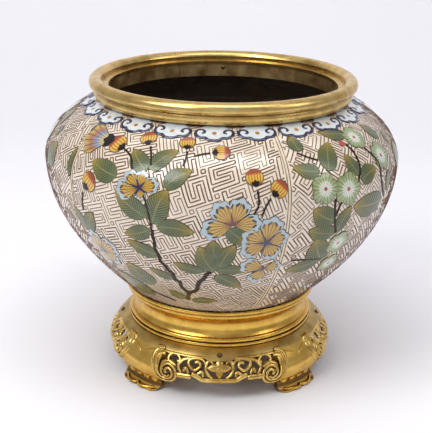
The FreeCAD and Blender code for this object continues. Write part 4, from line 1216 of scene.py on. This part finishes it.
def turned(azimuth, across, outward, height):
    """Points in metres, some way outward along an azimuth and some way across from it."""
    cos, sin = math.cos(math.radians(azimuth)), math.sin(math.radians(azimuth))
    return np.stack([sin * outward + cos * across, -cos * outward + sin * across, height], -1) * MM


def on_stand(azimuth, points):
    """Points (across, height, depth under the stand's outside) about an azimuth, in metres."""
    across, height, depth = np.moveaxis(points, -1, 0)
    radius = np.interp(height, STAND_HEIGHTS, STAND_RADII) - depth
    return turned(azimuth, across, np.sqrt(radius**2 - across**2), height)


def rounded_band(path, half_widths, front, back):
    """Rings round a band along a flat path, as (across, up, depth): rounded in front and flat behind."""
    normals = left_of(unit(np.gradient(path, axis=0)))
    swing = np.linspace(0, math.pi, BAND_POINTS)
    sideways = np.concatenate([np.cos(swing), [-1.0, 1.0]])
    rounding = np.minimum(half_widths, BAND_ROUNDING * (back - front))[:, None]
    depths = np.concatenate([front + rounding * (1 - np.sin(swing)), np.full((len(path), 2), back)], 1)
    places = path[:, None] + normals[:, None] * (sideways * half_widths[:, None])[..., None]
    return np.concatenate([places, depths[..., None]], -1)


def band_piece(name, bands, material, *nodes):
    """One mesh of closed bands, each a stack of rings of points in metres, with flat ends."""
    vertices, faces = [], []
    for rings in bands:
        count, sides = rings.shape[:2]
        first = len(vertices)
        vertices.extend(rings.reshape(-1, 3).tolist())
        for ring in range(count - 1):
            for side in range(sides):
                beside = (side + 1) % sides
                corner = first + ring * sides
                near, far = corner + side, corner + beside
                faces.append((near, far, far + sides, near + sides))
        faces.append(tuple(range(first, first + sides)))
        faces.append(tuple(range(first + (count - 1) * sides, first + count * sides)))
    mesh = new_mesh(name, vertices, faces, material)
    shell = bmesh.new()
    shell.from_mesh(mesh)
    bmesh.ops.recalc_face_normals(shell, faces=shell.faces)
    shell.to_mesh(mesh)
    shell.free()
    mesh.polygons.foreach_set("use_smooth", [len(polygon.vertices) == 4 for polygon in mesh.polygons])
    finished(new_object(name, mesh), "gilt_bronze", *nodes)


PENDANT_HEIGHT = 16.2
# Middle lines of the scrolls to the right of the apron's middle: across, and above the pendant
SCROLLS = [
    [(5.2, 14.2), (7.2, 16.4), (9.6, 15.0), (10.8, 10.4), (8.6, 6.6), (5.0, 4.2)],
    [(10.4, 13.4), (13.2, 16.6), (18.6, 17.2), (23.4, 15.8), (24.2, 12.6), (19.6, 9.2), (14.8, 12.4)],
    [(14.8, 12.4), (16.4, 15.0), (19.4, 14.4)],
    [(17.6, 6.8), (13.8, 8.4), (12.6, 5.0)],
    [(22.4, 17.0), (28.6, 15.2), (32.4, 11.4), (32.2, 8.8), (30.2, 6.2)],
    [(24.4, 6.4), (26.4, 10.0), (28.6, 7.4)],
    [(33.4, 13.6), (31.4, 14.2), (31.6, 16.2), (34.8, 18.4), (39.6, 16.4), (40.2, 12.6), (34.6, 10.4)],
    [(34.6, 10.4), (40.0, 12.6), (45.2, 10.2), (45.8, 7.4), (44.6, 5.2)],
]
SCROLL_HALF_WIDTH = 1.15
SCROLL_TAPER = 0.35
SCROLL_FRONT = 0.3
# The lower and upper bands of the apron, each with half its width
BANDS = [
    ([(0.0, 2.1), (8.0, 2.1), (13.4, 2.4), (17.8, 4.8), (22.0, 6.4)], 2.1),
    ([(22.4, 4.0), (29.6, 4.0), (36.6, 3.8)], 2.3),
    ([(0.0, 18.0), (24.0, 18.0), (47.6, 18.0)], 0.8),
]
VOLUTE = [
    (43.0, 18.8), (48.0, 17.6), (51.2, 14.0), (52.0, 9.0), (51.0, 3.8), (48.4, -0.6),
    (44.0, -2.6), (39.0, -1.4), (36.2, 2.4), (36.6, 7.0), (40.2, 9.6), (44.0, 8.0),
    (44.8, 4.6), (42.4, 2.8), (40.6, 4.4),
]
# Ridges beside the volute's middle line: how far, and half the width
VOLUTE_RIDGES = [(-1.6, 1.35), (1.4, 1.3)]
VOLUTE_TAPER = 0.45
VOLUTE_PROUD = 0.8
VOLUTE_DEPTH = 2.0
# Petals of the flower in the middle of an apron: the reach of each by its direction in degrees
FLOWER_HEIGHT = 11.4
FLOWER_REACH = {0.0: 9.6, 90.0: 7.0, 180.0: 9.6, 270.0: 7.4}
FLOWER_PETAL_HALF_WIDTH = 3.0
FLOWER_PETAL_POINTS = 12
# Half width at a petal's ends, and the power that moves its widest place inwards
FLOWER_PETAL_END = 0.2
FLOWER_PETAL_POWER = 0.8
FLOWER_FRONT = 0.5
FLOWER_BOSS = 2.0
FLOWER_BOSS_END = 0.1
FLOWER_BOSS_PROUD = 0.6
FLOWER_BOSS_POINTS = 9
APRON_DEPTH = 3.0


def flower_bands():
    """Four almond petals and a boss in the middle of an apron."""
    share = np.linspace(0, 1, FLOWER_PETAL_POINTS)
    widths = FLOWER_PETAL_END + FLOWER_PETAL_HALF_WIDTH * np.sin(math.pi * share**FLOWER_PETAL_POWER)
    for turn, reach in FLOWER_REACH.items():
        path = (0.0, FLOWER_HEIGHT) + polar(share * reach, math.radians(turn))
        yield rounded_band(path, widths, FLOWER_FRONT, APRON_DEPTH)
    side = np.linspace(-1, 1, FLOWER_BOSS_POINTS)
    boss = np.stack([side * FLOWER_BOSS, np.full(FLOWER_BOSS_POINTS, FLOWER_HEIGHT)], -1)
    widths = FLOWER_BOSS_END + FLOWER_BOSS * np.sqrt(1 - side**2)
    yield rounded_band(boss, widths, -FLOWER_BOSS_PROUD, APRON_DEPTH)


def half_apron():
    """Bands to the right of an apron's middle."""
    for scroll in SCROLLS:
        path = smooth_path(scroll, per_corner=5)
        taper = 1 - SCROLL_TAPER * np.linspace(-1, 1, len(path)) ** 4
        yield rounded_band(path, SCROLL_HALF_WIDTH * taper, SCROLL_FRONT, APRON_DEPTH)
    for corners, half_width in BANDS:
        path = smooth_path(corners, per_corner=5)
        yield rounded_band(path, np.full(len(path), half_width), 0.0, APRON_DEPTH)
    path = smooth_path(VOLUTE)
    normals = left_of(unit(np.gradient(path, axis=0)))
    taper = 1 - VOLUTE_TAPER * np.linspace(0, 1, len(path)) ** 3
    for sideways, half_width in VOLUTE_RIDGES:
        yield rounded_band(path + normals * sideways, half_width * taper, -VOLUTE_PROUD, VOLUTE_DEPTH)


def make_aprons():
    for name, azimuth in APRONS.items():
        bands = list(flower_bands())
        for band in half_apron():
            bands.append(band)
            bands.append(band * (-1, 1, 1))
        shaped = [on_stand(azimuth, band + (0.0, PENDANT_HEIGHT, 0.0)) for band in bands]
        band_piece(name + "_scrollwork", shaped, CHASED_GILT, name)


SKIRT_HALF_ANGLE = 13.0
SKIRT_RADIUS = 92.0
SKIRT_TOP = 15.0
SKIRT_LOW = 12.4
SKIRT_SCALLOP = 4.4
SKIRT_LOBES = 5
SKIRT_ROUNDNESS = 0.6
SKIRT_WALL = 2.2
SKIRT_PROUD = 0.5
SKIRT_ROWS, SKIRT_COLUMNS = 8, 61
# Raised ogee line along the top of a leg: across, and height
LEG_BORDER = [(0.0, 28.6), (2.0, 30.4), (6.0, 32.0), (13.0, 33.2), (20.0, 32.4)]
LEG_BORDER_HALF_WIDTH = 0.8
LEG_BORDER_PROUD = 0.6
LEG_BORDER_DEPTH = 1.5


def make_skirts():
    """Scalloped lower edges of the legs over the hollow above each foot, and ogee lines at their tops."""
    share, swing = patch_shares(SKIRT_ROWS, SKIRT_COLUMNS)[:2]
    edge = SKIRT_LOW - SKIRT_SCALLOP * np.abs(np.cos(SKIRT_LOBES * math.pi / 2 * swing)) ** SKIRT_ROUNDNESS
    heights = SKIRT_TOP + (edge - SKIRT_TOP) * share
    across = SKIRT_RADIUS * np.sin(np.radians(SKIRT_HALF_ANGLE * swing))
    outside = np.stack([across, heights, -SKIRT_PROUD * np.sin(math.pi * share)], -1)
    inside = outside[::-1] + (0.0, 0.0, SKIRT_WALL)
    skirt = np.concatenate([outside, inside]).transpose(1, 0, 2)
    half = smooth_path(LEG_BORDER)
    line = np.concatenate([half[:0:-1] * (-1, 1), half])
    widths = np.full(len(line), LEG_BORDER_HALF_WIDTH)
    border = rounded_band(line, widths, -LEG_BORDER_PROUD, LEG_BORDER_DEPTH)
    trim = [on_stand(azimuth, rings) for azimuth in LEGS.values() for rings in (skirt, border)]
    band_piece("leg_skirts", trim, GILT)


# Rounded lip along the edge of one lobe of a toe: across, and out from the axis
TOE_LIP = [(0.5, 92.0), (2.4, 94.6), (7.0, 94.9), (12.0, 92.4), (15.4, 88.6), (16.4, 84.4)]
TOE_LIP_RADIUS = 1.5
TOE_LIP_HEIGHT = 1.7


def make_toe_lips():
    across, outward = smooth_path(TOE_LIP).T
    height = np.full(len(across), TOE_LIP_HEIGHT)
    lobes = [(azimuth, side) for azimuth in LEGS.values() for side in (1, -1)]
    lines = [turned(azimuth, side * across, outward, height) for azimuth, side in lobes]
    wire_piece("toe_lips", lines, TOE_LIP_RADIUS, GILT, sides=10)


# Stage and light, in metres

SWEEP_START = 0.75
SWEEP_RADIUS = 0.6
SWEEP_TOP = 2.4
SWEEP_POINTS = 13
STAGE_HALF_WIDTH = 4.0
STAGE_FRONT = -9.0
# Share of white that the paper shows of itself, so that it reads pale without more light on the object
PAPER_GLOW = 0.12
# It fades out between these distances from the object's axis, so that the shadow stays deep
GLOW_FADE = (0.09, 0.27)


def matt_paper():
    # Matt studio paper: a faintly cool white that takes a soft shadow
    material, tree = new_material("matt_paper_sweep")
    tone = add(tree, RAMP, {"Fac": noise(tree, size=900.0)}, stops=[(0.3, "#F6F5F9"), (0.7, "#F9F8FC")])
    seen = add(tree, "ShaderNodeLightPath", output=None)
    shown = seen["Is Camera Ray"]
    for ray in ("Is Glossy Ray", "Is Transmission Ray"):
        shown = add(tree, MATH, {0: shown, 1: seen[ray]}, operation="MAXIMUM")
    place = add(tree, "ShaderNodeTexCoord", output="Object")
    away = add(tree, "ShaderNodeVectorMath", {0: place}, "Value", operation="LENGTH")
    near, far = GLOW_FADE
    fade = {"Value": away, "From Min": near, "From Max": far, "To Max": PAPER_GLOW}
    glow = add(tree, "ShaderNodeMapRange", fade)
    glow = add(tree, MATH, {0: shown, 1: glow}, operation="MULTIPLY")
    set_shader(tree, Base_Color=tone, Roughness=0.95, Specular_IOR_Level=0.1)
    set_shader(tree, Emission_Color=tone, Emission_Strength=glow)
    return material


def make_stage():
    """Paper sweep: a flat floor that curves up behind the object into an upright backdrop."""
    turn = np.linspace(0, math.pi / 2, SWEEP_POINTS)
    back = SWEEP_START + SWEEP_RADIUS
    depth = [STAGE_FRONT, *(SWEEP_START + SWEEP_RADIUS * np.sin(turn)).tolist(), back]
    rise = [0.0, *(SWEEP_RADIUS * (1 - np.cos(turn))).tolist(), SWEEP_TOP]
    vertices = [(side, y, z) for y, z in zip(depth, rise) for side in (-STAGE_HALF_WIDTH, STAGE_HALF_WIDTH)]
    faces = [(2 * step, 2 * step + 1, 2 * step + 3, 2 * step + 2) for step in range(len(depth) - 1)]
    new_object("paper_sweep", new_mesh("paper_sweep", vertices, faces, matt_paper()))


OBJECT_AIM = (0.0, 0.0, 0.13)
BACKDROP_AIM = (0.0, 1.35, 0.7)
SOFT_BOXES = [
    # Place and aim, width, height, power in watts
    ("overhead_soft_box", (0.0, -0.38, 1.35), OBJECT_AIM, 1.2, 0.45, 6.0),
    ("left_soft_box", (-0.8, -0.74, 1.16), OBJECT_AIM, 0.75, 0.5, 8.6),
    ("right_soft_box", (1.05, -0.45, 1.0), OBJECT_AIM, 0.5, 0.6, 2.2),
    ("front_fill_card", (0.0, -2.3, 0.7), OBJECT_AIM, 2.4, 1.6, 2.5),
    ("backdrop_soft_box", (0.0, 0.45, 1.7), BACKDROP_AIM, 2.2, 0.4, 3.4),
]
ROOM_COLOUR = "#EDECF2"
ROOM_STRENGTH = 0.44


def make_lights():
    for name, place, target, width, height, power in SOFT_BOXES:
        data = bpy.data.lights.new(name, "AREA")
        data.shape = "RECTANGLE"
        data.size = width
        data.size_y = height
        data.energy = power
        lamp = new_object(name, data)
        lamp.location = place
        aim = Vector(target) - Vector(place)
        lamp.rotation_euler = aim.to_track_quat("-Z", "Y").to_euler()
    world = bpy.data.worlds.new("studio")
    world.use_nodes = True
    room = world.node_tree.nodes["Background"]
    set_inputs(world.node_tree, room, {"Color": ROOM_COLOUR, "Strength": ROOM_STRENGTH})
    bpy.context.scene.world = world


bpy.context.scene.view_settings.view_transform = "Standard"
place_camera()
make_stage()
make_lights()
finish_nodes()
make_ground()
for lobe_panel in range(LOBE_COUNT):
    make_fret(lobe_panel)
make_creases()
make_leaves()
make_flowers()
make_rosettes()
make_buds()
make_stems()
make_berries()
make_lappets()
make_aprons()
make_skirts()
make_toe_lips()
